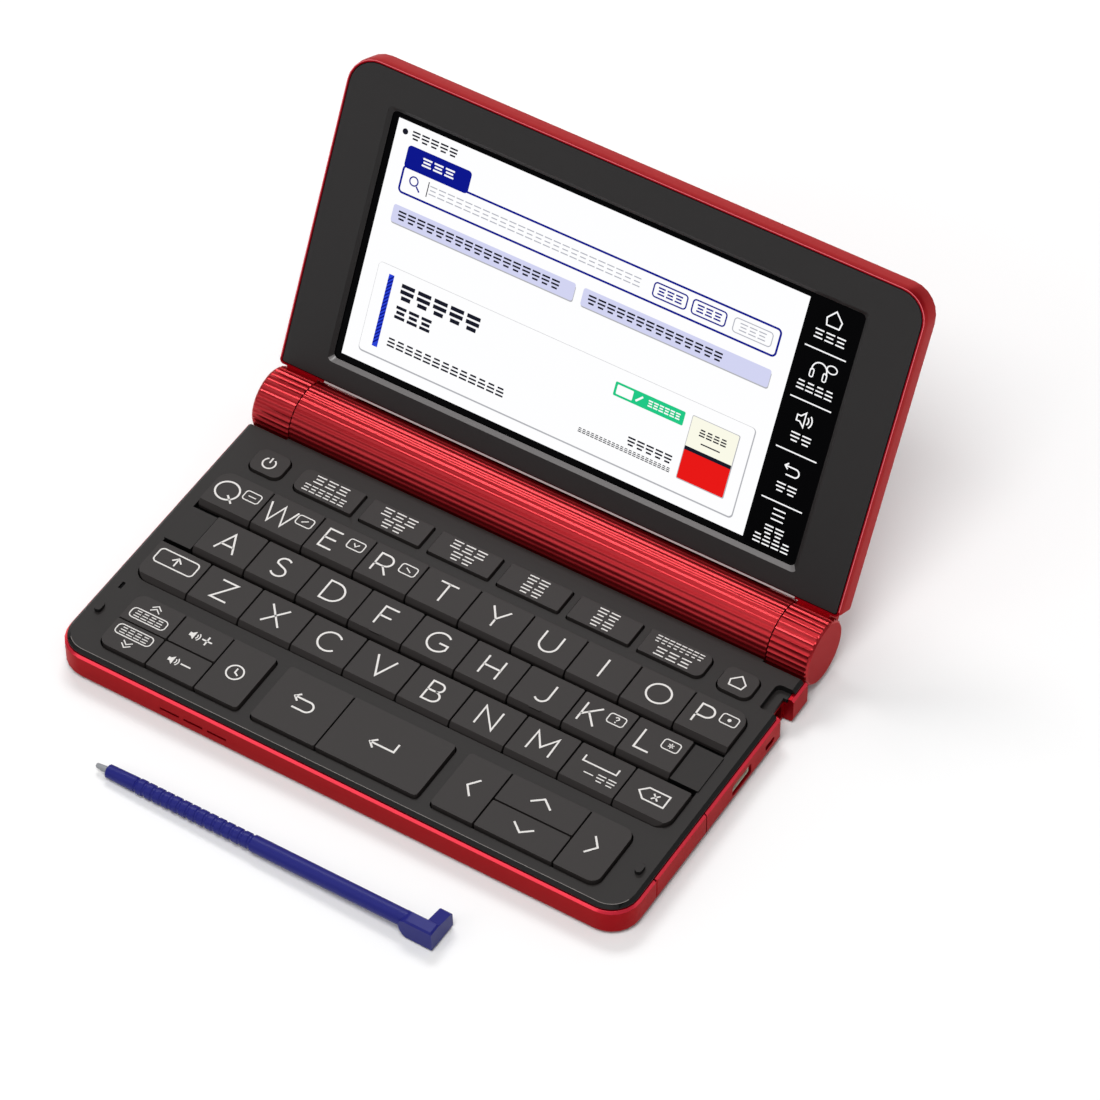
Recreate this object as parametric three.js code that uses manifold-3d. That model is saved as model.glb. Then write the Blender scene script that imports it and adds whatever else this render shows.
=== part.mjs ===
// Handheld electronic dictionary: keyboard base, fluted battery barrel along the hinge,
// leaning screen lid, and a stylus that lies in front of the base.
// Millimetres, +Z up, the user sits at -Y and the hinge runs along X at the back.
import * as THREE from 'three';
import { mergeVertices } from 'three/addons/utils/BufferGeometryUtils.js';
import Module from 'manifold-3d';

const wasm = await Module();
wasm.setup();

// Clearances shared by several pieces
const seatGap = 0.3;
const keyGap = 0.45;
const wellGap = 0.4;
const hingeGap = 0.35;
const cutOver = 2;

// Letter keys: rows from the user backwards, columns across
const columnPitch = 15.19;
const rowPitch = 13.85;
const letterColumns = 10;
const letterRows = 3;
const letterKeyDepth = 12.05;
const letterBevelRun = 0.95;
const letterBevelDrop = 1.45;
const letterCornerRadius = 3.4;
const keyEdgeRadius = 0.35;
const keyHeight = 2.35;
const keyTravel = 0.8;
const keyProud = 1.15;
const homingBarLength = 3.2;
const homingBarWidth = 0.5;
const homingBarHeight = 0.35;
const homingBarRise = 0.3;

// Function keys along the barrel
const functionCount = 6;
const functionWidth = 17.45;
const functionSpacing = 2.6;
const functionDepth = 7.6;
const functionEndRadius = 2;
const roundKeyWidth = 9.2;
const roundKeySpacing = 4.1;
const roundKeyRadius = 2.2;
const functionKeyDrop = 0.3;

// Clusters of wide keys along the front
const clusterDepth = 18;
const clusterCornerRadius = 2.6;
const clusterInnerRadius = 1.1;
const clusterSpacing = 3.85;
const entryKeyWidth = 13.8;
const volumeKeyWidth = 14.1;
const historyKeyWidth = 12.4;
const backKeyWidth = 18.5;
const enterKeyWidth = 28.7;
const arrowKeyWidth = 12;
const arrowMiddleWidth = 21.9;

// Margins of the keyboard on the deck
const sideMargin = 5.05;
const frontMargin = 4.9;
const clusterToLetters = 4.75;
const lettersToFunction = 4;
const functionToBarrel = 6.11;

// Battery barrel with its flutes, between two knuckles of the lid
const cellRadius = 7.25;
const cellClearance = 0.2;
const barrelWall = 1.35;
const barrelRadius = cellRadius + cellClearance + barrelWall;
const barrelGround = 1.2;
const fluteCount = 36;
const fluteDepth = 0.27;
const knuckleWidth = 11.25;
const knuckleInset = 0.6;
const knuckleChamfer = 0.7;
const knuckleDish = 0.35;
const knuckleDeckRelief = 0.7;
const cellLength = 49.3;
const cellNubRadius = 2.75;
const cellNubLength = 1.2;
const cellEdge = 0.8;
const cellEndPlay = 1.3;
const doorFrom = 181;
const doorTo = 264;
const doorEndLap = 0.7;

// Base shell
const footHeight = 0.5;
const footLength = 12;
const footWidth = 5;
const footSide = 14;
const footFront = 6;
const footRear = 1.2;
const siloFloor = 0.8;
const siloRoof = 0.5;
const siloClearance = 0.15;
const caseCornerRadius = 8;
const caseBottomRound = 1;
const caseRimChamfer = 0.6;
const rimWall = 1.5;
const tongueReach = 4.4;
const deckFlange = 1.1;
const deckFloor = 0.6;
const deckInset = 0.75;
const deckEdgeHeight = 0.75;
const deckChamferRun = 0.85;
const blankDrop = 0.75;

// Fittings in the base
const nubLength = 3;
const nubWidth = 1.8;
const nubFront = 14.5;
const micLength = 2.2;
const micWidth = 0.9;
const micDepth = 0.5;
const micFront = 22.3;
const speakerSlotLength = 5.5;
const speakerSlotHeight = 0.7;
const speakerSlotPitch = 6.85;
const speakerSlots = 3;
const speakerFromLeft = 31.6;
const speakerRise = 3.4;
const speakerDepth = 1.1;
const cardDoorFront = 14.8;
const cardDoorLength = 23.2;
const cardDoorWall = 1.3;
const cardPivotGap = 0.45;
const cardBayDepth = 2.4;
const cardBayWall = 1.2;
const cardSlotLength = 11.6;
const cardSlotHeight = 1.2;
const cardSlotDepth = 9;
const doorToUsb = 11.9;
const usbLength = 8.8;
const usbHeight = 3.6;
const usbRise = 1.7;
const usbRecess = 0.6;
const usbDepth = 5.6;
const usbWall = 0.45;
const usbTongue = 0.6;
const usbMouthDepth = 3.8;
const usbCorner = 0.7;
const strapLength = 4.1;
const strapHeight = 1.7;
const strapToNotch = 2.8;
const strapRise = 2.5;
const strapDepth = 2.2;
const notchLength = 6.2;
const notchDepth = 2.8;
const notchOffset = 0.25;
const notchPocketLength = 8.8;
const notchPocketLap = 0.65;
const notchPocketDepth = 5.6;
const notchPocketDrop = 1.8;
const notchPocketRound = 1.6;

// Lid
const lidOpenDeg = 63.18;
const lidClearance = 0.4;
const lidThickness = 6.9;
const lidOverhang = 0.74;
const lidBarrelGap = 0.6;
const lidTopRadius = 8;
const lidBottomRadius = 1.2;
const lidBackRound = 1;
const lidFrontRound = 2;
const lidFrontDraft = 0.25;
const lidRim = 0.55;
const lidBottomRim = 0.5;
const lidWall = 1.5;
const lidLedge = 1.3;
const bezelGap = 0.25;
const bezelDepth = 2.85;
const bezelLip = 0.9;
const windowLeft = 13;
const windowRight = 13.9;
const windowBottom = 6.1;
const windowTop = 9.7;
const windowRadius = 1.4;
const windowSlope = 1.1;
const panelLap = 1.2;
const panelThickness = 1.6;
const panelRadius = 0.6;
const neckInset = 2.5;
const neckWidth = 9;
const neckFront = 0.25;
const lipInset = 9;
const lipThickness = 1.55;
const lipReach = 4.8;

// Stylus
const stylusStandoff = 21.15;
const stylusYawDeg = 0.92;
const shaftRadius = 2.15;
const ringRadius = 2;
const ringDepth = 0.24;
const ringCount = 13;
const gripLength = 32.9;
const noseLength = 9;
const noseRadius = 1.9;
const noseEndRadius = 1.75;
const noseEdge = 0.25;
const tipLength = 3.4;
const tipRadius = 0.85;
const tipEndRadius = 0.62;
const tipEdge = 0.2;
const shaftLength = 43;
const headLength = 9.3;
const headRise = 2.5;
const headDrop = 3.95;
const headFront = 2.4;
const headBackBevel = 1.3;
const headTopBevel = 1.8;
const headHeel = 3.6;
const headToe = 2.4;
const armWidth = 3.25;
const armReach = 6.6;
const armFall = 1.5;
const headEdge = 0.45;
const stylusStart = 53.3;

// Segment counts
const cornerSteps = 6;
const smallCornerSteps = 2;
const roundSteps = 32;

// Sizes that follow from the ones above
const letterBlockWidth = letterColumns * columnPitch;
const bodyWidth = letterBlockWidth + 2 * sideMargin;
const half = bodyWidth / 2;
const clusterRear = frontMargin + clusterDepth;
const letterFront = clusterRear + clusterToLetters;
const letterRear = letterFront + (letterRows - 1) * rowPitch + letterKeyDepth;
const functionFront = letterRear + lettersToFunction;
const functionRear = functionFront + functionDepth;
const hingeY = functionRear + functionToBarrel + hingeGap + barrelRadius;
const hingeZ = barrelGround + barrelRadius;
const siloBore = 2 * (shaftRadius + siloClearance);
const siloBottom = footHeight + siloFloor;
const coreTop = siloBottom + siloBore + siloRoof;
const deckBottom = coreTop + seatGap;
const wellFloor = deckBottom + deckFloor;
const keyBottom = wellFloor + seatGap + keyTravel;
const keyTop = keyBottom + keyHeight;
const deckTop = keyTop - keyProud;
const rimTop = deckTop - deckFlange - seatGap;
const bezelPlane = hingeZ - keyTop - lidClearance;
const lidBack = bezelPlane - lidThickness;
const lidBottom = barrelRadius + lidBarrelGap;
const lidTop = hingeY + lidOverhang;
const knuckleInner = half - knuckleInset - knuckleWidth;
const barrelHalf = knuckleInner - seatGap;
const caseRear = hingeY - tongueReach;
const notchY = (functionFront + functionRear) / 2 + notchOffset;
const notchX = half - notchDepth;

// Points round a rectangle whose four corners have radii in the order
// front left, front right, rear right, rear left, counter-clockwise from above.
function outline(x0, x1, y0, y1, radii, steps = cornerSteps) {
  const r = Array.isArray(radii) ? radii : [radii, radii, radii, radii];
  const corners = [
    [x0 + r[0], y0 + r[0], r[0], Math.PI],
    [x1 - r[1], y0 + r[1], r[1], 1.5 * Math.PI],
    [x1 - r[2], y1 - r[2], r[2], 0],
    [x0 + r[3], y1 - r[3], r[3], 0.5 * Math.PI],
  ];
  const points = [];
  for (const [cx, cy, radius, start] of corners) {
    const count = radius > 0 ? steps : 0;
    for (let i = 0; i <= count; i += 1) {
      const angle = start + (count ? (i / count) * 0.5 * Math.PI : 0);
      points.push(new THREE.Vector2(cx + radius * Math.cos(angle), cy + radius * Math.sin(angle)));
    }
  }
  return points;
}

// Upright prism on an outline
function prism(points, z0, z1) {
  const geometry = new THREE.ExtrudeGeometry(new THREE.Shape(points), { depth: z1 - z0, bevelEnabled: false });
  return geometry.translate(0, 0, z0);
}

// Turns a shape drawn in (y, z) and extruded along its own z into one that runs along +X
const acrossX = new THREE.Matrix4().makeBasis(
  new THREE.Vector3(0, 1, 0),
  new THREE.Vector3(0, 0, 1),
  new THREE.Vector3(1, 0, 0),
);

// Prism along X on a profile in (y, z)
function bar(points, x0, x1) {
  return prism(points, x0, x1).applyMatrix4(acrossX);
}

// Box between two corners
function block(x0, x1, y0, y1, z0, z1) {
  return new THREE.BoxGeometry(x1 - x0, y1 - y0, z1 - z0)
    .translate((x0 + x1) / 2, (y0 + y1) / 2, (z0 + z1) / 2);
}

// Skin over a stack of outlines with equal point counts, closed by flat ends
function loft(sections) {
  const count = sections[0].points.length;
  const position = [];
  const index = [];
  for (const { z, points } of sections) {
    for (const p of points) position.push(p.x, p.y, z);
  }
  for (let k = 0; k + 1 < sections.length; k += 1) {
    for (let i = 0; i < count; i += 1) {
      const j = (i + 1) % count;
      const a = k * count + i;
      const b = k * count + j;
      index.push(a, b, b + count, a, b + count, a + count);
    }
  }
  const top = (sections.length - 1) * count;
  for (const [a, b, c] of THREE.ShapeUtils.triangulateShape(sections[0].points, [])) {
    index.push(a, c, b);
  }
  for (const [a, b, c] of THREE.ShapeUtils.triangulateShape(sections[sections.length - 1].points, [])) {
    index.push(top + a, top + b, top + c);
  }
  const geometry = new THREE.BufferGeometry();
  geometry.setAttribute('position', new THREE.Float32BufferAttribute(position, 3));
  geometry.setIndex(index);
  return geometry;
}

// Cylinder along X round (y, z)
function rod(radius, x0, x1, y, z, steps = roundSteps) {
  return new THREE.CylinderGeometry(radius, radius, x1 - x0, steps)
    .rotateZ(Math.PI / 2)
    .translate((x0 + x1) / 2, y, z);
}

// Solid for joining and cutting
function solid(geometry) {
  const bare = geometry.clone();
  bare.deleteAttribute('normal');
  bare.deleteAttribute('uv');
  const merged = mergeVertices(bare);
  return new wasm.Manifold(new wasm.Mesh({
    numProp: 3,
    vertProperties: new Float32Array(merged.attributes.position.array),
    triVerts: new Uint32Array(merged.index.array),
  }));
}

// Geometry of a finished solid
function skin(body) {
  const mesh = body.getMesh();
  const geometry = new THREE.BufferGeometry();
  geometry.setAttribute('position', new THREE.Float32BufferAttribute(mesh.vertProperties, mesh.numProp));
  geometry.setIndex(Array.from(mesh.triVerts));
  geometry.computeVertexNormals();
  return geometry;
}

const join = (first, ...rest) => rest.reduce((body, next) => body.add(solid(next)), solid(first));
const cut = (body, ...tools) => tools.reduce((left, tool) => left.subtract(solid(tool)), body);

// Materials
const finish = (color, roughness, metalness) => new THREE.MeshStandardMaterial({ color, roughness, metalness });
const redPaint = finish(0x9a1620, 0.34, 0.35);
const redBarrel = finish(0xa01822, 0.28, 0.5);
const blackDeck = finish(0x393534, 0.62, 0);
const blackKey = finish(0x423e3d, 0.58, 0);
const blackBezel = finish(0x32302f, 0.55, 0);
const screenGlass = finish(0xf4f5fa, 0.18, 0);
const cellSleeve = finish(0xb9bcc2, 0.35, 0.8);
const nickel = finish(0xc9c3b6, 0.3, 0.9);
const navyPlastic = finish(0x2a2c86, 0.45, 0);
const greyTip = finish(0x8f9095, 0.5, 0);

const dictionary = new THREE.Group();
const lid = new THREE.Group();
lid.position.set(0, hingeY, hingeZ);
lid.rotation.x = THREE.MathUtils.degToRad(lidOpenDeg);
dictionary.add(lid);

function add(parent, name, geometry, material) {
  const mesh = new THREE.Mesh(geometry, material.clone());
  mesh.name = name;
  parent.add(mesh);
  return mesh;
}

// Outline of the fluted barrel: crests stay on the outer radius, each flute dips between two of them
function fluted(radius, depth) {
  const perFlute = 4;
  const points = [];
  for (let i = 0; i < fluteCount * perFlute; i += 1) {
    const angle = (i / (fluteCount * perFlute)) * 2 * Math.PI;
    const r = radius - depth * Math.sin(((i % perFlute) / perFlute) * Math.PI);
    points.push(new THREE.Vector2(r * Math.cos(angle), r * Math.sin(angle)));
  }
  return points;
}

// Ring sector, angles in degrees from the user's side upwards over the top
function sector(inner, outer, from, to) {
  const steps = 12;
  const points = [];
  for (let i = 0; i <= steps; i += 1) {
    const angle = THREE.MathUtils.degToRad(180 - (from + ((to - from) * i) / steps));
    points.push(new THREE.Vector2(outer * Math.cos(angle), outer * Math.sin(angle)));
  }
  for (let i = steps; i >= 0; i -= 1) {
    const angle = THREE.MathUtils.degToRad(180 - (from + ((to - from) * i) / steps));
    points.push(new THREE.Vector2(inner * Math.cos(angle), inner * Math.sin(angle)));
  }
  return points.reverse();
}

// Base shell: a tray with a rounded bottom edge and a bright chamfer along its rim
function casePlan(inset) {
  const r = caseCornerRadius - inset;
  return outline(-half + inset, half - inset, inset, caseRear, [r, r, 0, 0]);
}

const foot = (x0, y0) => prism(
  outline(x0, x0 + footLength, y0, y0 + footWidth, footWidth / 2 - keyEdgeRadius, smallCornerSteps),
  0,
  footHeight + siloFloor / 2,
);

const caseTurn = Math.SQRT1_2 * caseBottomRound;
const caseBody = loft([
  { z: footHeight, points: casePlan(caseBottomRound) },
  { z: footHeight + caseBottomRound - caseTurn, points: casePlan(caseBottomRound - caseTurn) },
  { z: footHeight + caseBottomRound, points: casePlan(0) },
  { z: rimTop - caseRimChamfer, points: casePlan(0) },
  { z: rimTop, points: casePlan(caseRimChamfer) },
]);
let lowerCase = join(
  caseBody,
  foot(-half + footSide, footFront),
  foot(half - footSide - footLength, footFront),
  foot(-half + footSide, caseRear - footRear - footWidth),
  foot(half - footSide - footLength, caseRear - footRear - footWidth),
);

const recessRadius = caseCornerRadius - rimWall;
const usbFront = cardDoorFront + cardDoorLength + doorToUsb;
const usbY = usbFront + usbLength / 2;
const usbBottom = footHeight + usbRise;
const strapRear = notchY - notchLength / 2 - strapToNotch;
const stylusReach = tipLength + noseLength + gripLength + shaftLength;
const cardDoorRear = cardDoorFront + cardDoorLength;
const cardBayFront = cardDoorFront + cardDoorWall + seatGap;
const cardMiddle = (cardBayFront + cardDoorRear) / 2;
const cardFloor = footHeight + cardBayWall;
const cardSlotZ = (cardFloor + coreTop) / 2;
const doorPivotX = half - cardDoorWall / 2;
const doorPivotY = cardDoorFront + seatGap + cardDoorWall / 2;

lowerCase = cut(
  lowerCase,
  // seat of the deck
  prism(
    outline(-half + rimWall, half - rimWall, rimWall, caseRear + cutOver, [recessRadius, recessRadius, 0, 0]),
    coreTop,
    rimTop + cutOver,
  ),
  // hollow that the barrel lies in
  rod(barrelRadius + hingeGap, -half - cutOver, half + cutOver, hingeY, hingeZ, 2 * roundSteps),
  // room below the knuckles
  ...[-1, 1].map((side) => {
    const inner = side * (knuckleInner - seatGap);
    const outer = side * (half + cutOver);
    return block(
      Math.min(inner, outer),
      Math.max(inner, outer),
      hingeY - barrelRadius,
      caseRear + cutOver,
      -cutOver,
      rimTop + cutOver,
    );
  }),
  // stylus head notch, open from top to bottom, and the silo behind it
  block(notchX, half + cutOver, notchY - notchLength / 2, notchY + notchLength / 2, -cutOver, rimTop + cutOver),
  block(
    notchX - stylusReach - seatGap,
    notchX + cutOver,
    notchY - siloBore / 2,
    notchY + siloBore / 2,
    siloBottom,
    siloBottom + siloBore,
  ),
  // place of the card door with the round seat of its pivot, the bay and the card slot behind it
  block(
    half - cardDoorWall - seatGap,
    half + cutOver,
    doorPivotY,
    cardDoorRear,
    -cutOver,
    rimTop + cutOver,
  ),
  new THREE.CylinderGeometry(
    cardDoorWall / 2 + cardPivotGap,
    cardDoorWall / 2 + cardPivotGap,
    rimTop + 2 * cutOver,
    roundSteps / 2,
  ).rotateX(Math.PI / 2).translate(doorPivotX, doorPivotY, rimTop / 2),
  block(
    half - cardDoorWall - cardBayDepth,
    half,
    cardBayFront,
    cardDoorRear - cardBayWall,
    cardFloor,
    coreTop + cutOver,
  ),
  block(
    half - cardDoorWall - cardBayDepth - cardSlotDepth,
    half,
    cardMiddle - cardSlotLength / 2,
    cardMiddle + cardSlotLength / 2,
    cardSlotZ - cardSlotHeight / 2,
    cardSlotZ + cardSlotHeight / 2,
  ),
  // charging socket
  bar(
    outline(usbFront, usbFront + usbLength, usbBottom, usbBottom + usbHeight, usbCorner, smallCornerSteps),
    half - usbRecess - usbDepth - seatGap,
    half + cutOver,
  ),
  // strap slot
  bar(
    outline(
      strapRear - strapLength,
      strapRear,
      footHeight + strapRise,
      footHeight + strapRise + strapHeight,
      strapHeight / 2 - keyEdgeRadius,
      smallCornerSteps,
    ),
    half - strapDepth,
    half + cutOver,
  ),
);

// Sound slots in the front wall
for (let i = 0; i < speakerSlots; i += 1) {
  const x = -half + speakerFromLeft + i * speakerSlotPitch;
  lowerCase = cut(
    lowerCase,
    block(
      x,
      x + speakerSlotLength,
      -cutOver,
      speakerDepth,
      speakerRise,
      speakerRise + speakerSlotHeight,
    ),
  );
}
add(dictionary, 'lower_case', skin(lowerCase), redPaint);

// Keys. Each one is the plan outline raised to its top, met by the side profile of its row.
const keys = [];

function keySolid(k) {
  const plan = prism(
    outline(k.x0, k.x1, k.y0, k.y1, k.radii, k.steps ?? smallCornerSteps),
    keyBottom,
    k.top,
  );
  let body = solid(plan);
  if (k.bevel) {
    const profile = [
      new THREE.Vector2(k.y0 - cutOver, keyBottom - cutOver),
      new THREE.Vector2(k.y1 + cutOver, keyBottom - cutOver),
      new THREE.Vector2(k.y1 + cutOver, k.top + cutOver),
      new THREE.Vector2(k.y0 + letterBevelRun * (1 + cutOver / letterBevelDrop), k.top + cutOver),
      new THREE.Vector2(k.y0, k.top - letterBevelDrop),
      new THREE.Vector2(k.y0 - cutOver, k.top - letterBevelDrop),
    ];
    body = body.intersect(solid(bar(profile, k.x0 - cutOver, k.x1 + cutOver)));
  }
  if (k.homing) {
    const x = (k.x0 + k.x1) / 2;
    const y = k.y0 + letterBevelRun;
    body = body.add(solid(prism(
      outline(
        x - homingBarLength / 2,
        x + homingBarLength / 2,
        y - homingBarWidth / 2,
        y + homingBarWidth / 2,
        0,
      ),
      k.top - homingBarHeight,
      k.top + homingBarRise - homingBarHeight / 2,
    )));
  }
  return body;
}

function placeKey(name, x0, x1, y0, y1, options) {
  keys.push({ name, x0, x1, y0, y1, top: keyTop, radii: keyEdgeRadius, ...options });
}

const letterSets = [
  ['shift', 'z', 'x', 'c', 'v', 'b', 'n', 'm', 'space', 'delete'],
  ['a', 's', 'd', 'f', 'g', 'h', 'j', 'k', 'l'],
  ['q', 'w', 'e', 'r', 't', 'y', 'u', 'i', 'o', 'p'],
];
letterSets.forEach((names, row) => {
  const left = (-names.length * columnPitch) / 2;
  const y0 = letterFront + row * rowPitch;
  names.forEach((name, i) => {
    const radii = [keyEdgeRadius, keyEdgeRadius, keyEdgeRadius, keyEdgeRadius];
    if (name === 'shift') radii[0] = letterCornerRadius;
    if (name === 'delete') radii[1] = letterCornerRadius;
    if (name === 'p') radii[2] = letterCornerRadius;
    if (name === 'q') radii[3] = letterCornerRadius;
    const corner = radii.includes(letterCornerRadius);
    placeKey(
      `key_${name}`,
      left + i * columnPitch + keyGap / 2,
      left + (i + 1) * columnPitch - keyGap / 2,
      y0,
      y0 + letterKeyDepth,
      { radii, bevel: true, homing: name === 'f' || name === 'j', steps: corner ? cornerSteps : smallCornerSteps },
    );
  });
});

// Function row: power, six wide keys, home
const functionPitch = functionWidth + functionSpacing;
const functionLeft = (-functionCount * functionPitch + functionSpacing) / 2;
const functionTop = keyTop - functionKeyDrop;
const roundOptions = { radii: roundKeyRadius, steps: cornerSteps, top: functionTop };
placeKey(
  'key_power',
  functionLeft - roundKeySpacing - roundKeyWidth,
  functionLeft - roundKeySpacing,
  functionFront,
  functionRear,
  roundOptions,
);
placeKey(
  'key_home',
  -functionLeft + roundKeySpacing,
  -functionLeft + roundKeySpacing + roundKeyWidth,
  functionFront,
  functionRear,
  roundOptions,
);
for (let i = 0; i < functionCount; i += 1) {
  const radii = [keyEdgeRadius, keyEdgeRadius, keyEdgeRadius, keyEdgeRadius];
  if (i === 0) {
    radii[0] = functionEndRadius;
    radii[3] = functionEndRadius;
  }
  if (i === functionCount - 1) {
    radii[1] = functionEndRadius;
    radii[2] = functionEndRadius;
  }
  const x0 = functionLeft + i * functionPitch;
  placeKey(`key_f${i + 1}`, x0, x0 + functionWidth, functionFront, functionRear, {
    radii,
    top: functionTop,
    steps: radii.includes(functionEndRadius) ? cornerSteps : smallCornerSteps,
  });
}

// Front clusters: columns of one or two keys, named from front to rear
const clusters = [
  [[entryKeyWidth, 'next', 'prev'], [volumeKeyWidth, 'vol_down', 'vol_up'], [historyKeyWidth, 'history']],
  [[backKeyWidth, 'back'], [enterKeyWidth, 'enter']],
  [[arrowKeyWidth, 'left'], [arrowMiddleWidth, 'down', 'up'], [arrowKeyWidth, 'right']],
];
const clusterWidth = (cluster) => cluster.reduce((sum, column) => sum + column[0], 0);
const clustersWidth = clusters.reduce((sum, cluster) => sum + clusterWidth(cluster), 0)
  + (clusters.length - 1) * clusterSpacing;
const wells = [];
let clusterLeft = -clustersWidth / 2;
for (const cluster of clusters) {
  let x = clusterLeft;
  const leftRadius = cluster === clusters[0] ? clusterCornerRadius : clusterInnerRadius;
  const rightRadius = cluster === clusters[clusters.length - 1] ? clusterCornerRadius : clusterInnerRadius;
  cluster.forEach(([width, ...names], c) => {
    const depth = clusterDepth / names.length;
    names.forEach((name, r) => {
      const radii = [keyEdgeRadius, keyEdgeRadius, keyEdgeRadius, keyEdgeRadius];
      if (c === 0 && r === 0) radii[0] = leftRadius;
      if (c === cluster.length - 1 && r === 0) radii[1] = rightRadius;
      if (c === cluster.length - 1 && r === names.length - 1) radii[2] = rightRadius;
      if (c === 0 && r === names.length - 1) radii[3] = leftRadius;
      placeKey(
        `key_${name}`,
        x + (c === 0 ? 0 : keyGap / 2),
        x + width - (c === cluster.length - 1 ? 0 : keyGap / 2),
        frontMargin + r * depth + (r === 0 ? 0 : keyGap / 2),
        frontMargin + (r + 1) * depth - (r === names.length - 1 ? 0 : keyGap / 2),
        { radii, steps: Math.max(...radii) > keyEdgeRadius ? cornerSteps : smallCornerSteps },
      );
    });
    x += width;
  });
  wells.push(outline(
    clusterLeft - wellGap,
    x + wellGap,
    frontMargin - wellGap,
    clusterRear + wellGap,
    [leftRadius, rightRadius, rightRadius, leftRadius].map((r) => r + wellGap),
  ));
  clusterLeft = x + clusterSpacing;
}
for (const k of keys.filter((key) => key.top === functionTop)) {
  const radii = (Array.isArray(k.radii) ? k.radii : [k.radii, k.radii, k.radii, k.radii]).map((r) => r + wellGap);
  wells.push(outline(k.x0 - wellGap, k.x1 + wellGap, k.y0 - wellGap, k.y1 + wellGap, radii, k.steps));
}
wells.push(outline(
  -letterBlockWidth / 2 - wellGap + keyGap / 2,
  letterBlockWidth / 2 + wellGap - keyGap / 2,
  letterFront - wellGap,
  letterRear + wellGap,
  letterCornerRadius + wellGap,
));

for (const k of keys) {
  const geometry = skin(keySolid(k)).translate(-(k.x0 + k.x1) / 2, -(k.y0 + k.y1) / 2, -keyBottom);
  const mesh = add(dictionary, k.name, geometry, blackKey);
  mesh.position.set((k.x0 + k.x1) / 2, (k.y0 + k.y1) / 2, keyBottom);
}

// Keyboard deck: a plate that overhangs the rim of the shell, with the wells of the keys below it
function deckPlan(inset) {
  const r = caseCornerRadius - inset;
  return outline(-half + inset, half - inset, inset, caseRear, [r, r, 0, 0]);
}

const trayInset = rimWall + seatGap;
let deck = join(
  loft([
    { z: deckTop - deckFlange, points: deckPlan(deckInset) },
    { z: deckTop - deckEdgeHeight, points: deckPlan(deckInset) },
    { z: deckTop, points: deckPlan(deckInset + deckChamferRun) },
  ]),
  prism(deckPlan(trayInset), deckBottom, deckTop - deckFlange / 2),
);
deck = cut(deck, ...wells.map((well) => prism(well, wellFloor, deckTop + cutOver)));

// Fixed blanks beside the middle row, and the two pads that the closed lid rests on
const middleHalf = (letterSets[1].length * columnPitch) / 2;
const blankFront = letterFront + rowPitch;
for (const side of [-1, 1]) {
  const inner = side * (middleHalf + keyGap / 2);
  const outer = side * (letterBlockWidth / 2 + wellGap);
  const pad = side * (half - (sideMargin - wellGap) + keyEdgeRadius);
  deck = deck.add(solid(block(
    Math.min(inner, outer),
    Math.max(inner, outer),
    blankFront,
    blankFront + letterKeyDepth,
    deckBottom + deckFloor / 2,
    keyTop - blankDrop,
  )));
  deck = deck.add(solid(prism(
    outline(
      pad - nubWidth / 2,
      pad + nubWidth / 2,
      nubFront - nubLength / 2,
      nubFront + nubLength / 2,
      nubWidth / 2 - keyEdgeRadius / 2,
      smallCornerSteps,
    ),
    deckTop - deckFlange / 2,
    keyTop,
  )));
}

const micX = -half + sideMargin - wellGap;
deck = cut(
  deck,
  block(micX - micWidth / 2, micX + micWidth / 2, micFront, micFront + micLength, deckTop - micDepth, deckTop + cutOver),
  // finger pocket and open notch for the head of the stylus
  prism(
    outline(
      half - notchPocketDepth,
      half + cutOver,
      notchY - notchLength / 2 - notchPocketLap,
      notchY - notchLength / 2 - notchPocketLap + notchPocketLength,
      [notchPocketLap, 0, 0, notchPocketRound],
    ),
    deckTop - notchPocketDrop,
    deckTop + cutOver,
  ),
  block(notchX, half + cutOver, notchY - notchLength / 2, notchY + notchLength / 2, -cutOver, deckTop + cutOver),
  // concave rear edge along the barrel, cut further back at the knuckles
  rod(barrelRadius + hingeGap, -half - cutOver, half + cutOver, hingeY, hingeZ, 2 * roundSteps),
  rod(barrelRadius + hingeGap + knuckleDeckRelief, -half - cutOver, -knuckleInner + seatGap, hingeY, hingeZ),
  rod(barrelRadius + hingeGap + knuckleDeckRelief, knuckleInner - seatGap, half + cutOver, hingeY, hingeZ),
);
add(dictionary, 'keyboard_deck', skin(deck), blackDeck);

// Battery barrel: fluted tube, bored for two cells in line, with a door in its rear lower quarter
const boreRadius = cellRadius + cellClearance;
const boreHalf = cellLength + cellNubLength + cellEndPlay;
const windowHalf = boreHalf + doorEndLap;
const doorLap = THREE.MathUtils.radToDeg(seatGap / barrelRadius);
const profile = fluted(barrelRadius, fluteDepth);
const barrel = cut(
  solid(bar(profile, -barrelHalf, barrelHalf)),
  rod(boreRadius, -boreHalf, boreHalf, 0, 0),
  bar(sector(boreRadius, barrelRadius + cutOver, doorFrom, doorTo), -windowHalf, windowHalf),
);
add(dictionary, 'hinge_barrel', skin(barrel), redBarrel).position.set(0, hingeY, hingeZ);

const doorHalf = windowHalf - seatGap;
const batteryDoor = solid(bar(profile, -doorHalf, doorHalf)).intersect(solid(bar(
  sector(boreRadius + seatGap, barrelRadius + cutOver, doorFrom + doorLap, doorTo - doorLap),
  -doorHalf - cutOver,
  doorHalf + cutOver,
)));
add(dictionary, 'battery_door', skin(batteryDoor), redBarrel).position.set(0, hingeY, hingeZ);

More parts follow.
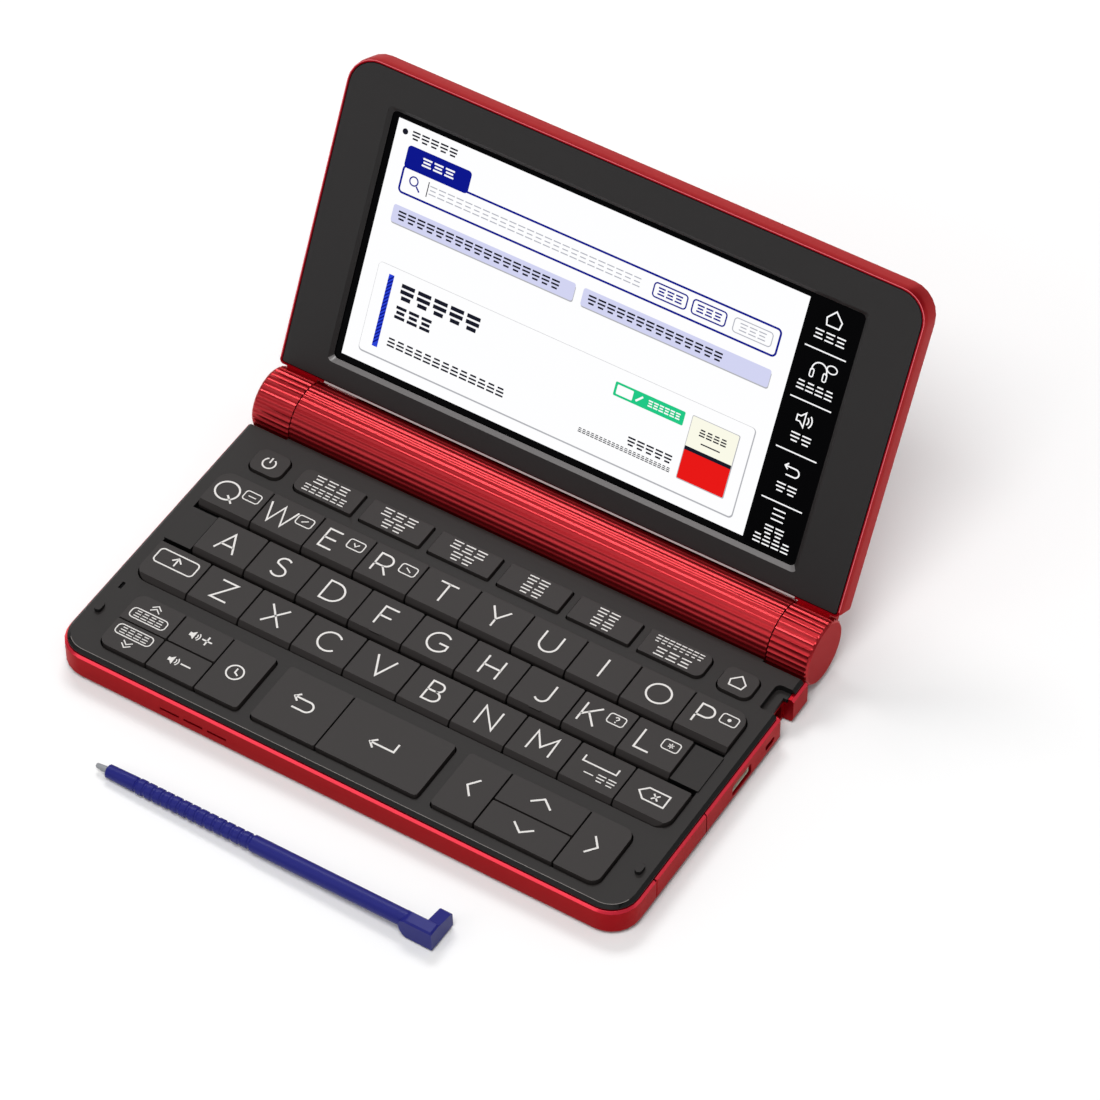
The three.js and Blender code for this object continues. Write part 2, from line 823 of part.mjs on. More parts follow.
// Two round cells, nose to tail, revolved about the barrel's axis
function cellProfile(start) {
  const shoulder = start + cellLength;
  return [
    [cellNubRadius, start],
    [cellRadius - cellEdge, start],
    [cellRadius, start + cellEdge],
    [cellRadius, shoulder - cellEdge],
    [cellRadius - cellEdge, shoulder],
    [cellNubRadius, shoulder],
    [cellNubRadius, shoulder + cellNubLength],
  ];
}
const cellsStart = -cellLength - cellNubLength;
const cellPoints = [[0, cellsStart], ...cellProfile(cellsStart).slice(1), ...cellProfile(0).slice(1), [0, cellLength + cellNubLength]];
const cells = new THREE.LatheGeometry(cellPoints.map(([r, x]) => new THREE.Vector2(r, x)), roundSteps)
  .rotateZ(-Math.PI / 2);
add(dictionary, 'battery_cells', skin(solid(cells)), cellSleeve).position.set(0, hingeY, hingeZ);

// Card door: a flap cut from the same wall, round at its front end where it pivots upright
const flap = join(
  block(
    half - cardDoorWall,
    half + cutOver,
    doorPivotY,
    cardDoorRear - seatGap,
    0,
    rimTop + cutOver,
  ),
  new THREE.CylinderGeometry(cardDoorWall / 2, cardDoorWall / 2, rimTop + cutOver, roundSteps / 2)
    .rotateX(Math.PI / 2)
    .translate(doorPivotX, doorPivotY, (rimTop + cutOver) / 2),
).intersect(solid(caseBody));
add(dictionary, 'card_door', skin(flap), redPaint);

// Charging socket: a drawn metal shell with its tongue
const usbFace = half - usbRecess;
const usbShell = cut(
  solid(bar(
    outline(
      usbFront + seatGap,
      usbFront + usbLength - seatGap,
      usbBottom + seatGap,
      usbBottom + usbHeight - seatGap,
      usbCorner,
      smallCornerSteps,
    ),
    usbFace - usbDepth,
    usbFace,
  )),
  bar(
    outline(
      usbFront + seatGap + usbWall,
      usbFront + usbLength - seatGap - usbWall,
      usbBottom + seatGap + usbWall,
      usbBottom + usbHeight - seatGap - usbWall,
      usbCorner - usbWall,
      smallCornerSteps,
    ),
    usbFace - usbMouthDepth,
    usbFace + cutOver,
  ),
).add(solid(block(
  usbFace - usbMouthDepth - usbWall,
  usbFace - usbRecess,
  usbY - usbLength / 4,
  usbY + usbLength / 4,
  usbBottom + usbHeight / 2,
  usbBottom + usbHeight / 2 + usbTongue,
)));
add(dictionary, 'usb_socket', skin(usbShell), nickel);

// Lid shell. In the lid's frame x runs across, y away from the hinge axis and z towards the user.
function lidPlan(inset) {
  return outline(
    -half + inset,
    half - inset,
    lidBottom,
    lidTop - inset,
    [lidBottomRadius, lidBottomRadius, lidTopRadius - inset, lidTopRadius - inset],
  );
}

const lidTurn = Math.SQRT1_2 * lidBackRound;
const bezelBack = bezelPlane - bezelDepth;
const ledge = bezelBack - seatGap;
const seatSide = half - lidFrontDraft - lidRim;
const seatBottom = lidBottom + lidBottomRim;
const seatTop = lidTop - lidFrontDraft - lidRim;
const seatRadius = lidTopRadius - lidFrontDraft - lidRim;
const bayBottomRadius = lidBottomRadius - lidBottomRim;

const knuckle = loft([
  { z: knuckleInner, points: fluted(barrelRadius, fluteDepth) },
  { z: half - knuckleInset - knuckleChamfer, points: fluted(barrelRadius, fluteDepth) },
  { z: half - knuckleInset - knuckleDish, points: fluted(barrelRadius - knuckleDish, 0) },
  { z: half - knuckleInset, points: fluted(barrelRadius - knuckleChamfer, 0) },
]).applyMatrix4(acrossX);

// The neck leaves the top of the knuckle and meets the bottom wall of the lid
const neckStart = Math.sqrt(barrelRadius ** 2 - lidBack ** 2);
const neck = bar(
  [
    new THREE.Vector2(Number.isNaN(neckStart) ? 0 : neckStart, lidBack),
    new THREE.Vector2(lidBottom + lidBottomRim / 2, lidBack),
    new THREE.Vector2(lidBottom + lidBottomRim / 2, bezelPlane - neckFront),
    new THREE.Vector2(barrelRadius / 2, bezelPlane - neckFront),
  ],
  half - neckInset - neckWidth,
  half - neckInset,
);

// Copy on the other side of the middle, with its faces still pointing out
function mirrored(geometry) {
  const copy = geometry.index ? geometry.toNonIndexed() : geometry.clone();
  const position = copy.attributes.position;
  for (let i = 0; i < position.count; i += 3) {
    const a = [position.getX(i), position.getY(i), position.getZ(i)];
    const b = [position.getX(i + 1), position.getY(i + 1), position.getZ(i + 1)];
    position.setXYZ(i, -b[0], b[1], b[2]);
    position.setXYZ(i + 1, -a[0], a[1], a[2]);
    position.setX(i + 2, -position.getX(i + 2));
  }
  return copy;
}

const slab = cut(
  solid(loft([
    { z: lidBack, points: lidPlan(lidBackRound) },
    { z: lidBack + lidBackRound - lidTurn, points: lidPlan(lidBackRound - lidTurn) },
    { z: lidBack + lidBackRound, points: lidPlan(0) },
    { z: bezelPlane - lidFrontRound, points: lidPlan(0) },
    { z: bezelPlane - lidFrontRound / 2, points: lidPlan(lidFrontDraft / 4) },
    { z: bezelPlane, points: lidPlan(lidFrontDraft) },
  ])),
  prism(
    outline(-seatSide, seatSide, seatBottom, seatTop, [bayBottomRadius, bayBottomRadius, seatRadius, seatRadius]),
    ledge,
    bezelPlane + cutOver,
  ),
  prism(
    outline(
      -seatSide + lidLedge,
      seatSide - lidLedge,
      seatBottom + lidLedge,
      seatTop - lidLedge,
      [bayBottomRadius, bayBottomRadius, seatRadius - lidLedge, seatRadius - lidLedge],
    ),
    lidBack + lidWall,
    ledge + cutOver,
  ),
);
// Lip behind the middle of the barrel, which closes the sight line through the running gap
const lipHalf = barrelHalf - lipInset;
const lipBottom = Math.sqrt(Math.max((barrelRadius + hingeGap) ** 2 - lidBack ** 2, lipReach ** 2));
const lipSteps = 4;
const lipFrom = Math.atan2(lidBack, lipBottom);
const lipTo = Math.asin((lidBack + lipThickness) / (barrelRadius + hingeGap));
const lipPoints = [new THREE.Vector2(lidBottom + lidBottomRim / 2, lidBack + lidBackRound)];
for (let i = 0; i <= lipSteps; i += 1) {
  const angle = lipFrom + ((lipTo - lipFrom) * i) / lipSteps;
  lipPoints.push(new THREE.Vector2(
    (barrelRadius + hingeGap) * Math.cos(angle),
    (barrelRadius + hingeGap) * Math.sin(angle),
  ));
}
lipPoints.push(new THREE.Vector2(lidBottom + lidBottomRim / 2, lidBack + lipThickness));
const lip = bar(lipPoints, -lipHalf, lipHalf);

const lidShell = slab
  .add(solid(lip))
  .add(solid(neck))
  .add(solid(mirrored(neck)))
  .add(solid(knuckle))
  .add(solid(mirrored(knuckle)));
add(lid, 'lid_shell', skin(lidShell), redPaint);

// Bezel: a frame with a sloped window, and a pocket behind its lip for the display
const windowX0 = -half + windowLeft;
const windowX1 = half - windowRight;
const windowY0 = lidBottom + windowBottom;
const windowY1 = lidTop - windowTop;
const slopeWindow = (z, inset) => ({
  z,
  points: outline(
    windowX0 + inset,
    windowX1 - inset,
    windowY0 + inset,
    windowY1 - inset,
    windowRadius,
    cornerSteps,
  ),
});
const lipBack = bezelPlane - bezelLip;
const pocket = windowSlope - panelLap - seatGap;
const bezelOutline = outline(
  -seatSide + bezelGap,
  seatSide - bezelGap,
  seatBottom + bezelGap,
  seatTop - bezelGap,
  [bayBottomRadius, bayBottomRadius, seatRadius - bezelGap, seatRadius - bezelGap],
);
const bezel = cut(
  solid(prism(bezelOutline, bezelBack, bezelPlane)),
  loft([
    slopeWindow(bezelBack - cutOver, windowSlope),
    slopeWindow(lipBack, windowSlope),
    slopeWindow(bezelPlane, 0),
    slopeWindow(bezelPlane + cutOver, 0),
  ]),
  prism(
    outline(
      windowX0 + pocket,
      windowX1 - pocket,
      windowY0 + pocket,
      windowY1 - pocket,
      panelRadius + seatGap,
      smallCornerSteps,
    ),
    bezelBack - cutOver,
    lipBack,
  ),
);
add(lid, 'lid_bezel', skin(bezel), blackBezel);

// Display panel behind the lip
const panelFace = lipBack - seatGap;
const panelEdge = windowSlope - panelLap;
add(lid, 'display_panel', skin(solid(prism(
  outline(
    windowX0 + panelEdge,
    windowX1 - panelEdge,
    windowY0 + panelEdge,
    windowY1 - panelEdge,
    panelRadius,
    smallCornerSteps,
  ),
  panelFace - panelThickness,
  panelFace,
))), screenGlass);

// Stylus, with its origin where the tip meets the nose
const shaftStart = noseLength + gripLength;
const headStart = shaftStart + shaftLength;
const headEnd = headStart + headLength;
const stylus = new THREE.Group();
dictionary.add(stylus);

const ringPitch = gripLength / ringCount;
const stylusPoints = [
  [0, 0],
  [noseEndRadius - noseEdge, 0],
  [noseEndRadius, noseEdge],
  [noseRadius, noseLength - ringPitch / 4],
  [noseRadius - ringDepth, noseLength - ringPitch / 6],
  [ringRadius - ringDepth, noseLength],
];
for (let i = 0; i < ringCount; i += 1) {
  const x = noseLength + i * ringPitch;
  stylusPoints.push([ringRadius, x + ringPitch / 10]);
  stylusPoints.push([ringRadius, x + (7 * ringPitch) / 10]);
  stylusPoints.push([ringRadius - ringDepth, x + (8 * ringPitch) / 10]);
  stylusPoints.push([ringRadius - ringDepth, x + ringPitch]);
}
stylusPoints.push([shaftRadius, shaftStart + ringPitch / 6]);
stylusPoints.push([shaftRadius, headEnd - armWidth]);
stylusPoints.push([0, headEnd - armWidth]);
const stylusShaft = new THREE.LatheGeometry(
  stylusPoints.map(([r, x]) => new THREE.Vector2(r, x)),
  roundSteps / 2,
).rotateZ(-Math.PI / 2);

// It lies in front of the base with its tip to the left, on the heel of its head and on the part
// of the shaft that meets the floor first, so its axis rises towards the head.
const heelX = headStart + headHeel;
const stylusTilt = Math.min(...stylusPoints
  .filter(([, x]) => x < headStart)
  .map(([r, x]) => Math.atan2(headDrop - r, heelX - x)));
stylus.position.set(
  -stylusStart + tipLength,
  -stylusStandoff,
  headDrop * Math.cos(stylusTilt) - heelX * Math.sin(stylusTilt),
);
stylus.rotation.set(0, -stylusTilt, -THREE.MathUtils.degToRad(stylusYawDeg), 'ZYX');

// Head: a cheek with a round end along the shaft, and an arm that falls away from it
const quarter = (cx, cz, rx, rz, from) => {
  const points = [];
  for (let i = 0; i <= cornerSteps; i += 1) {
    const angle = from + (i / cornerSteps) * 0.5 * Math.PI;
    points.push(new THREE.Vector2(cx + rx * Math.cos(angle), cz + rz * Math.sin(angle)));
  }
  return points;
};
const cheekSide = [
  new THREE.Vector2(headEnd - headEdge, -headDrop),
  new THREE.Vector2(headEnd, -headDrop + headEdge),
  new THREE.Vector2(headEnd, headRise - headEdge),
  new THREE.Vector2(headEnd - headEdge, headRise),
  ...quarter(headStart + headToe, headRise - headToe, headToe, headToe, 0.5 * Math.PI),
  ...quarter(headStart + headHeel, -headDrop + headHeel, headHeel, headHeel, Math.PI),
];
const cheekSection = [
  new THREE.Vector2(-headFront + headEdge, -headDrop),
  new THREE.Vector2(shaftRadius - headEdge, -headDrop),
  new THREE.Vector2(shaftRadius, -headDrop + headEdge),
  new THREE.Vector2(shaftRadius, headRise - headTopBevel),
  new THREE.Vector2(shaftRadius - headBackBevel, headRise),
  new THREE.Vector2(-headFront + headEdge, headRise),
  new THREE.Vector2(-headFront, headRise - headEdge),
  new THREE.Vector2(-headFront, -headDrop + headEdge),
];
const armSection = [
  new THREE.Vector2(-headFront + headEdge, -headDrop),
  new THREE.Vector2(armReach - headEdge, -headDrop),
  new THREE.Vector2(armReach, -headDrop + headEdge),
  new THREE.Vector2(armReach, headRise - armFall - headEdge),
  new THREE.Vector2(armReach - headEdge, headRise - armFall),
  new THREE.Vector2(-headFront + headEdge, headRise),
  new THREE.Vector2(-headFront, headRise - headEdge),
  new THREE.Vector2(-headFront, -headDrop + headEdge),
];
const cheek = prism(cheekSide, -armReach, armReach).rotateX(Math.PI / 2);
const stylusHead = solid(bar(cheekSection, headStart, headEnd))
  .add(solid(bar(armSection, headEnd - armWidth, headEnd)))
  .intersect(solid(cheek));
add(stylus, 'stylus', skin(solid(stylusShaft).add(stylusHead)), navyPlastic);

const tipPoints = [
  [0, -tipLength],
  [tipEndRadius - tipEdge, -tipLength],
  [tipEndRadius, -tipLength + tipEdge],
  [tipRadius, -tipLength / 3],
  [tipRadius, 0],
  [0, 0],
];
const tip = new THREE.LatheGeometry(tipPoints.map(([r, x]) => new THREE.Vector2(r, x)), roundSteps / 2)
  .rotateZ(-Math.PI / 2);
add(stylus, 'stylus_tip', skin(solid(tip)), greyTip);

// The origin sits on the floor under the middle of everything
dictionary.updateMatrixWorld(true);
const bounds = new THREE.Box3().setFromObject(dictionary, true);
dictionary.position.y = -(bounds.min.y + bounds.max.y) / 2;

export default dictionary;
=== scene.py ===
"""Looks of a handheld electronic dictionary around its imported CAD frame."""

import math

import bmesh
import bpy
from mathutils import Matrix, Vector


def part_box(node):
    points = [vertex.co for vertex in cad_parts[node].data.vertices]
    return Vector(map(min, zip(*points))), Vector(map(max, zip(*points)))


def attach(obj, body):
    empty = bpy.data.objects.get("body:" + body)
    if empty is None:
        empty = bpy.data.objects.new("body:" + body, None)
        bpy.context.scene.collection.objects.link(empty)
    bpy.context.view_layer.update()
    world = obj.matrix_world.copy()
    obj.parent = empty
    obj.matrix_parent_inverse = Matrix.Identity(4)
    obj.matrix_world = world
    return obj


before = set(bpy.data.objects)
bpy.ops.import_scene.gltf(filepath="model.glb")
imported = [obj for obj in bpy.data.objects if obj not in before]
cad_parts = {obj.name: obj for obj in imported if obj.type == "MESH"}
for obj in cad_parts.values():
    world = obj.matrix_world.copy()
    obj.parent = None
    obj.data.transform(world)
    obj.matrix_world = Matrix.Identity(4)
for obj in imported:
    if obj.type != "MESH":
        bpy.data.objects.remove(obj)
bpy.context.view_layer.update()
MM = 0.001

# Places in millimetres, worked out from the frame
barrel_low, barrel_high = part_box("hinge_barrel")
HINGE_Y = (barrel_low.y + barrel_high.y) / 2 / MM
HINGE_Z = (barrel_low.z + barrel_high.z) / 2 / MM
BARREL_HALF = barrel_high.x / MM
FRONT_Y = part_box("lower_case")[0].y / MM
HINGE = Vector((0, HINGE_Y, HINGE_Z))
# The lid leans back by this much from flat; the two vectors run up the lid and out of its face
LID_DEG = 63.18
LID_UP = Vector((0, math.cos(math.radians(LID_DEG)), math.sin(math.radians(LID_DEG))))
LID_OUT = Vector((0, -math.sin(math.radians(LID_DEG)), math.cos(math.radians(LID_DEG))))
# Levels of the bezel and of the panel over the hinge axis, and the distance from it where the bezel starts
BEZEL_PLANE = -1.15
PANEL_PLANE = -2.35
BEZEL_FOOT = 9.4


def on_deck(z):
    """Maps (x, y from the front face, height) in mm to the frame, above level z."""
    return lambda x, y, h: Vector((x, y + FRONT_Y, z + h)) * MM


def on_lid(level):
    """Maps (x, distance from the hinge axis, height) in mm to the frame, above a level of the lid."""
    return lambda x, s, h: (HINGE + Vector((x, 0, 0)) + LID_UP * s + LID_OUT * (level + h)) * MM


# Materials
def srgb(*values):
    """sRGB 0 to 255 to linear, with alpha 1."""
    shares = [v / 255 for v in values]
    return tuple(s / 12.92 if s <= 0.04045 else ((s + 0.055) / 1.055) ** 2.4 for s in shares) + (1.0,)


def new_material(name):
    material = bpy.data.materials.new(name)
    material.use_nodes = True
    tree = material.node_tree
    return material, tree, tree.nodes["Principled BSDF"]


GRAIN_DETAIL = 4.0
ROUGH_SPREAD = 0.04
PAINT_GRAIN = 7000
LIT_BASE = (0.0005, 0.0005, 0.0005, 1)


def add_grain(tree, shader, colour, scale, rough, bump=0.1, amount=0.06, depth=0.00002):
    """Fine moulded grain from one noise: relief, and a little of it in roughness and colour."""
    coord = tree.nodes.new("ShaderNodeTexCoord")
    noise = tree.nodes.new("ShaderNodeTexNoise")
    noise.inputs["Scale"].default_value = scale
    noise.inputs["Detail"].default_value = GRAIN_DETAIL
    tree.links.new(coord.outputs["Object"], noise.inputs["Vector"])
    if bump:
        relief = tree.nodes.new("ShaderNodeBump")
        relief.inputs["Strength"].default_value = bump
        relief.inputs["Distance"].default_value = depth
        tree.links.new(noise.outputs["Fac"], relief.inputs["Height"])
        tree.links.new(relief.outputs["Normal"], shader.inputs["Normal"])
    spread = tree.nodes.new("ShaderNodeMapRange")
    spread.inputs["To Min"].default_value = rough - ROUGH_SPREAD
    spread.inputs["To Max"].default_value = rough + ROUGH_SPREAD
    tree.links.new(noise.outputs["Fac"], spread.inputs["Value"])
    tree.links.new(spread.outputs["Result"], shader.inputs["Roughness"])
    mix = tree.nodes.new("ShaderNodeMix")
    mix.data_type = "RGBA"
    mix.inputs["A"].default_value = tuple(v * (1 - amount) for v in colour[:3]) + (1,)
    mix.inputs["B"].default_value = tuple(min(1, v * (1 + amount)) for v in colour[:3]) + (1,)
    tree.links.new(noise.outputs["Fac"], mix.inputs["Factor"])
    tree.links.new(mix.outputs["Result"], shader.inputs["Base Color"])


def plastic(name, colour, rough, scale=9000, specular=0.3, **grain):
    """Moulded plastic, or anything else without the mirror of metal."""
    material, tree, shader = new_material(name)
    shader.inputs["Specular IOR Level"].default_value = specular
    add_grain(tree, shader, colour, scale, rough, **grain)
    return material


def paint(name, colour, rough, metallic, coat, coat_rough=0.2):
    """Metallic paint: flakes that mirror softly, red at a grazing angle too, under a thin clear coat."""
    material, tree, shader = new_material(name)
    shader.inputs["Metallic"].default_value = metallic
    shader.inputs["Specular IOR Level"].default_value = 0.2
    shader.inputs["Specular Tint"].default_value = PAINT_EDGE
    shader.inputs["Coat Weight"].default_value = coat
    shader.inputs["Coat Roughness"].default_value = coat_rough
    add_grain(tree, shader, colour, PAINT_GRAIN, rough, bump=0.05, depth=0.00001, amount=0.08)
    return material


def metal(name, colour, rough, scale):
    """Bare metal with a fine grain."""
    material, tree, shader = new_material(name)
    shader.inputs["Metallic"].default_value = 1.0
    add_grain(tree, shader, colour, scale, rough, bump=0.05, depth=0.00001)
    return material


def lit(name, colour):
    """A lit field of the display, nearly free of gloss."""
    material, tree, shader = new_material(name)
    shader.inputs["Base Color"].default_value = LIT_BASE
    shader.inputs["Roughness"].default_value = 0.35
    shader.inputs["Specular IOR Level"].default_value = 0.02
    shader.inputs["Emission Color"].default_value = colour
    shader.inputs["Emission Strength"].default_value = 1.0
    return material


PAINT_EDGE = srgb(255, 52, 66)
RED = paint("paint_red", srgb(150, 6, 22), 0.38, metallic=0.7, coat=0.08)
# Lighter red: painted highlight on the rim chamfers of the case and the card door
RED_CHAMFER_HIGHLIGHT = paint("paint_red_chamfer_highlight", srgb(236, 46, 68), 0.3, metallic=0.8, coat=0.5)
# Pink for the painted highlight line along the lid's rim
RED_SHINE = paint("paint_red_shine", srgb(250, 112, 122), 0.3, metallic=0.5, coat=0.5)
RED_BARREL = paint("paint_red_barrel", srgb(166, 3, 20), 0.35, metallic=0.9, coat=0.6, coat_rough=0.3)
DECK = plastic("plastic_deck", srgb(33, 30, 29), 0.6)
# Darker copy of the deck's plastic: painted shade on the deck's outer chamfer and wall
DECK_EDGE_SHADE = plastic("plastic_deck_edge_shade", srgb(17, 16, 16), 0.45, specular=0.2)
# Pale grey for the painted highlight along the deck's front edge
DECK_HIGHLIGHT = plastic("plastic_deck_highlight", srgb(116, 110, 106), 0.4, scale=4000)
# Near-black painted shade for the sunk walls and floors round the keys
WELL_SHADE = plastic("plastic_well_shade", srgb(5, 5, 5), 0.7, specular=0.1)
KEY = plastic("plastic_key", srgb(40, 36, 35), 0.56)
BEZEL = plastic("plastic_bezel", srgb(34, 32, 32), 0.5)
# Light grey copy of the bezel's plastic: painted highlight on the foot of the window's slope
BEZEL_SLOPE_HIGHLIGHT = plastic("plastic_bezel_slope_highlight", srgb(104, 101, 101), 0.34, specular=0.6)
# Pale grey for the painted highlight along the foot of the bezel
BEZEL_LIP_HIGHLIGHT = plastic("plastic_bezel_lip", srgb(182, 176, 175), 0.35, scale=4000)
GLASS = plastic("glass_black", srgb(2, 2, 3), 0.18, scale=400, specular=0.05, bump=0)
PRINT = plastic("print_white", srgb(214, 211, 208), 0.6, scale=5000, bump=0.05)
NAVY = plastic("plastic_navy", srgb(25, 28, 110), 0.42, scale=3000, specular=0.2, bump=0.08)
GREY = plastic("plastic_grey", srgb(140, 142, 146), 0.5, scale=3000)
METAL = plastic("metal_nickel", srgb(206, 202, 184), 0.34, scale=2500)
CELL = metal("metal_cell", srgb(180, 182, 188), 0.36, 1500)

UI = {
    "white": lit("ui_white", srgb(254, 254, 255)),
    "navy": lit("ui_navy", srgb(8, 20, 140)),
    "blue": lit("ui_blue", srgb(40, 66, 214)),
    "ink": lit("ui_ink", srgb(22, 24, 38)),
    "grey": lit("ui_grey", srgb(178, 180, 190)),
    "shade": lit("ui_shade", srgb(178, 179, 184)),
    "lavender": lit("ui_lavender", srgb(210, 212, 242)),
    "green": lit("ui_green", srgb(30, 200, 134)),
    "red": lit("ui_red", srgb(232, 22, 20)),
    "cream": lit("ui_cream", srgb(250, 249, 232)),
    "black": lit("ui_black", srgb(2, 2, 3)),
}


# Edges of the CAD nodes: a bevel rounds what is sharper than this angle
SHARP_DEG = 28
WELD_REACH = 0.000002
SMOOTHERS = {}


def edge_smoother(degrees):
    """Geometry nodes that shade smoothly over every edge flatter than the angle."""
    tree = bpy.data.node_groups.new("smooth_below_angle", "GeometryNodeTree")
    tree.interface.new_socket("Geometry", in_out="INPUT", socket_type="NodeSocketGeometry")
    tree.interface.new_socket("Geometry", in_out="OUTPUT", socket_type="NodeSocketGeometry")
    source = tree.nodes.new("NodeGroupInput")
    target = tree.nodes.new("NodeGroupOutput")
    angle = tree.nodes.new("GeometryNodeInputMeshEdgeAngle")
    below = tree.nodes.new("FunctionNodeCompare")
    below.data_type = "FLOAT"
    below.operation = "LESS_EQUAL"
    tree.links.new(angle.outputs["Unsigned Angle"], below.inputs[0])
    below.inputs[1].default_value = math.radians(degrees)
    faces = tree.nodes.new("GeometryNodeSetShadeSmooth")
    faces.domain = "FACE"
    faces.inputs["Shade Smooth"].default_value = True
    edges = tree.nodes.new("GeometryNodeSetShadeSmooth")
    edges.domain = "EDGE"
    tree.links.new(below.outputs[0], edges.inputs["Shade Smooth"])
    tree.links.new(source.outputs[0], faces.inputs["Geometry"])
    tree.links.new(faces.outputs[0], edges.inputs["Geometry"])
    tree.links.new(edges.outputs[0], target.inputs[0])
    return tree


def soften(o, bevel=None, segments=2, smooth=35):
    """Joins split corners, rounds sharp edges by the bevel in mm and shades smoothly over flat ones."""
    old = o.data.attributes.get("custom_normal")
    if old:
        o.data.attributes.remove(old)
    weld = o.modifiers.new("weld", "WELD")
    weld.merge_threshold = WELD_REACH
    if bevel:
        rounding = o.modifiers.new("bevel", "BEVEL")
        rounding.width = bevel * MM
        rounding.segments = segments
        rounding.limit_method = "ANGLE"
        rounding.angle_limit = math.radians(SHARP_DEG)
    if smooth not in SMOOTHERS:
        SMOOTHERS[smooth] = edge_smoother(smooth)
    o.modifiers.new("smooth", "NODES").node_group = SMOOTHERS[smooth]
    if bevel:
        o.modifiers.new("normals", "WEIGHTED_NORMAL").keep_sharp = True


def dress(node, material, **edges):
    """Gives a node one material all over, and its edges."""
    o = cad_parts[node]
    o.data.materials.clear()
    o.data.materials.append(material)
    for polygon in o.data.polygons:
        polygon.material_index = 0
    soften(o, **edges)


def add_finish(node, material, chosen):
    """Gives a second material to the faces of a node whose centre and normal are chosen."""
    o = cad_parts[node]
    o.data.materials.append(material)
    spin = o.matrix_world.to_3x3()
    for polygon in o.data.polygons:
        if chosen(o.matrix_world @ polygon.center / MM, (spin @ polygon.normal).normalized()):
            polygon.material_index = len(o.data.materials) - 1


for key_node in [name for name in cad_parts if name.startswith("key_")]:
    dress(key_node, KEY, bevel=0.12)
dress("keyboard_deck", DECK, bevel=0.12)
dress("lower_case", RED, bevel=0.12)
dress("lid_shell", RED, bevel=0.1)
dress("lid_bezel", BEZEL, bevel=0.15)
dress("hinge_barrel", RED_BARREL, smooth=70)
dress("battery_door", RED_BARREL, smooth=70)
dress("battery_cells", CELL, bevel=0.1)
dress("display_panel", GLASS, bevel=0.1)
dress("card_door", RED, bevel=0.1)
dress("usb_socket", METAL, bevel=0.08)
dress("stylus", NAVY, bevel=0.15, segments=3, smooth=40)
dress("stylus_tip", GREY, bevel=0.1, smooth=40)

# Finishes of some faces of the CAD nodes, painted shade and painted highlights among them, by places in mm and
# by the share of a normal along an axis
deck_low, deck_high = (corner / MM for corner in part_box("keyboard_deck"))
DECK_TOP = 9.6
BELOW_TOP = 0.1
WELL_REACH = 4.0
# The open notch for the stylus head keeps the deck's own finish, without the painted shade of the wells
NOTCH_X, NOTCH_Y = 74.5, 12.0
RIM_START = 7.6
BARREL_REACH = 8.85
SLOPE_END = 40
SQUARE = 0.9
SLANT = 0.5
GENTLE = 0.3


def in_well(centre, normal):
    """Walls and floors sunk in the deck, which take a near-black painted shade: a step along their normal
    stays inside its outline.
    """
    step = centre + normal * WELL_REACH
    inside = deck_low.x < step.x < deck_high.x and deck_low.y < step.y < deck_high.y
    in_notch = centre.x > NOTCH_X and centre.y > NOTCH_Y
    return inside and normal.z > -SLANT and centre.z < DECK_TOP - BELOW_TOP and not in_notch


def on_deck_edge(centre, normal):
    """Chamfer and wall round the deck's outline, which take a darker copy of the deck's plastic as painted
    shade.
    """
    return abs(normal.z) < SQUARE and not in_well(centre, normal)


def on_rim_chamfer(centre, normal):
    """Chamfer along the rim of the case, which takes a lighter red as a painted highlight."""
    return SLANT < normal.z < SQUARE and centre.z > RIM_START


def on_knuckle(centre, normal):
    """Fluted skin of the lid's knuckles."""
    reach = math.hypot(centre.y - HINGE_Y, centre.z - HINGE_Z)
    return reach < BARREL_REACH and abs(centre.x) > BARREL_HALF and abs(normal.x) < SQUARE


def faces_up_the_lid(centre, normal):
    """Foot of the sloped window of the bezel, which takes a light grey as a painted highlight."""
    return normal.dot(LID_UP) > GENTLE and (centre - HINGE).dot(LID_UP) < SLOPE_END


# Painted shade: the wells round the keys turn near-black
add_finish("keyboard_deck", WELL_SHADE, in_well)
# Painted shade on the deck's outer chamfer and wall
add_finish("keyboard_deck", DECK_EDGE_SHADE, on_deck_edge)
# Painted highlight on the rim chamfers of the case and the card door
add_finish("lower_case", RED_CHAMFER_HIGHLIGHT, on_rim_chamfer)
add_finish("card_door", RED_CHAMFER_HIGHLIGHT, on_rim_chamfer)
add_finish("lid_shell", RED_BARREL, on_knuckle)
# Painted highlight on the foot of the bezel's window
add_finish("lid_bezel", BEZEL_SLOPE_HIGHLIGHT, faces_up_the_lid)


# Printed and lit marks: points nearer than SAME_POINT are one, and a bend is mitred out to 1 / MITRE_LIMIT
SAME_POINT = 1e-4
MITRE_LIMIT = 0.4


def arc(cx, cy, rx, ry, start, end, steps=14):
    """Points of an arc from one angle in degrees to another."""
    turns = [math.radians(start + (end - start) * i / steps) for i in range(steps + 1)]
    return [(cx + rx * math.cos(a), cy + ry * math.sin(a)) for a in turns]


def ring(cx, cy, r, steps=28):
    """Points of a full circle, the first repeated at the end, so that a line along it closes."""
    return arc(cx, cy, r, r, 0, 360, steps)


def round_box(x0, x1, y0, y1, r, steps=5):
    """Points of a box with round corners, closed like a ring."""
    corners = ((x1 - r, y0 + r, -90), (x1 - r, y1 - r, 0), (x0 + r, y1 - r, 90), (x0 + r, y0 + r, 180))
    points = []
    for cx, cy, start in corners:
        points += arc(cx, cy, r, r, start, start + 90, steps)
    return points + points[:1]


def without_repeats(points):
    kept = [Vector(points[0])]
    for point in points[1:]:
        if (Vector(point) - kept[-1]).length > SAME_POINT:
            kept.append(Vector(point))
    return kept


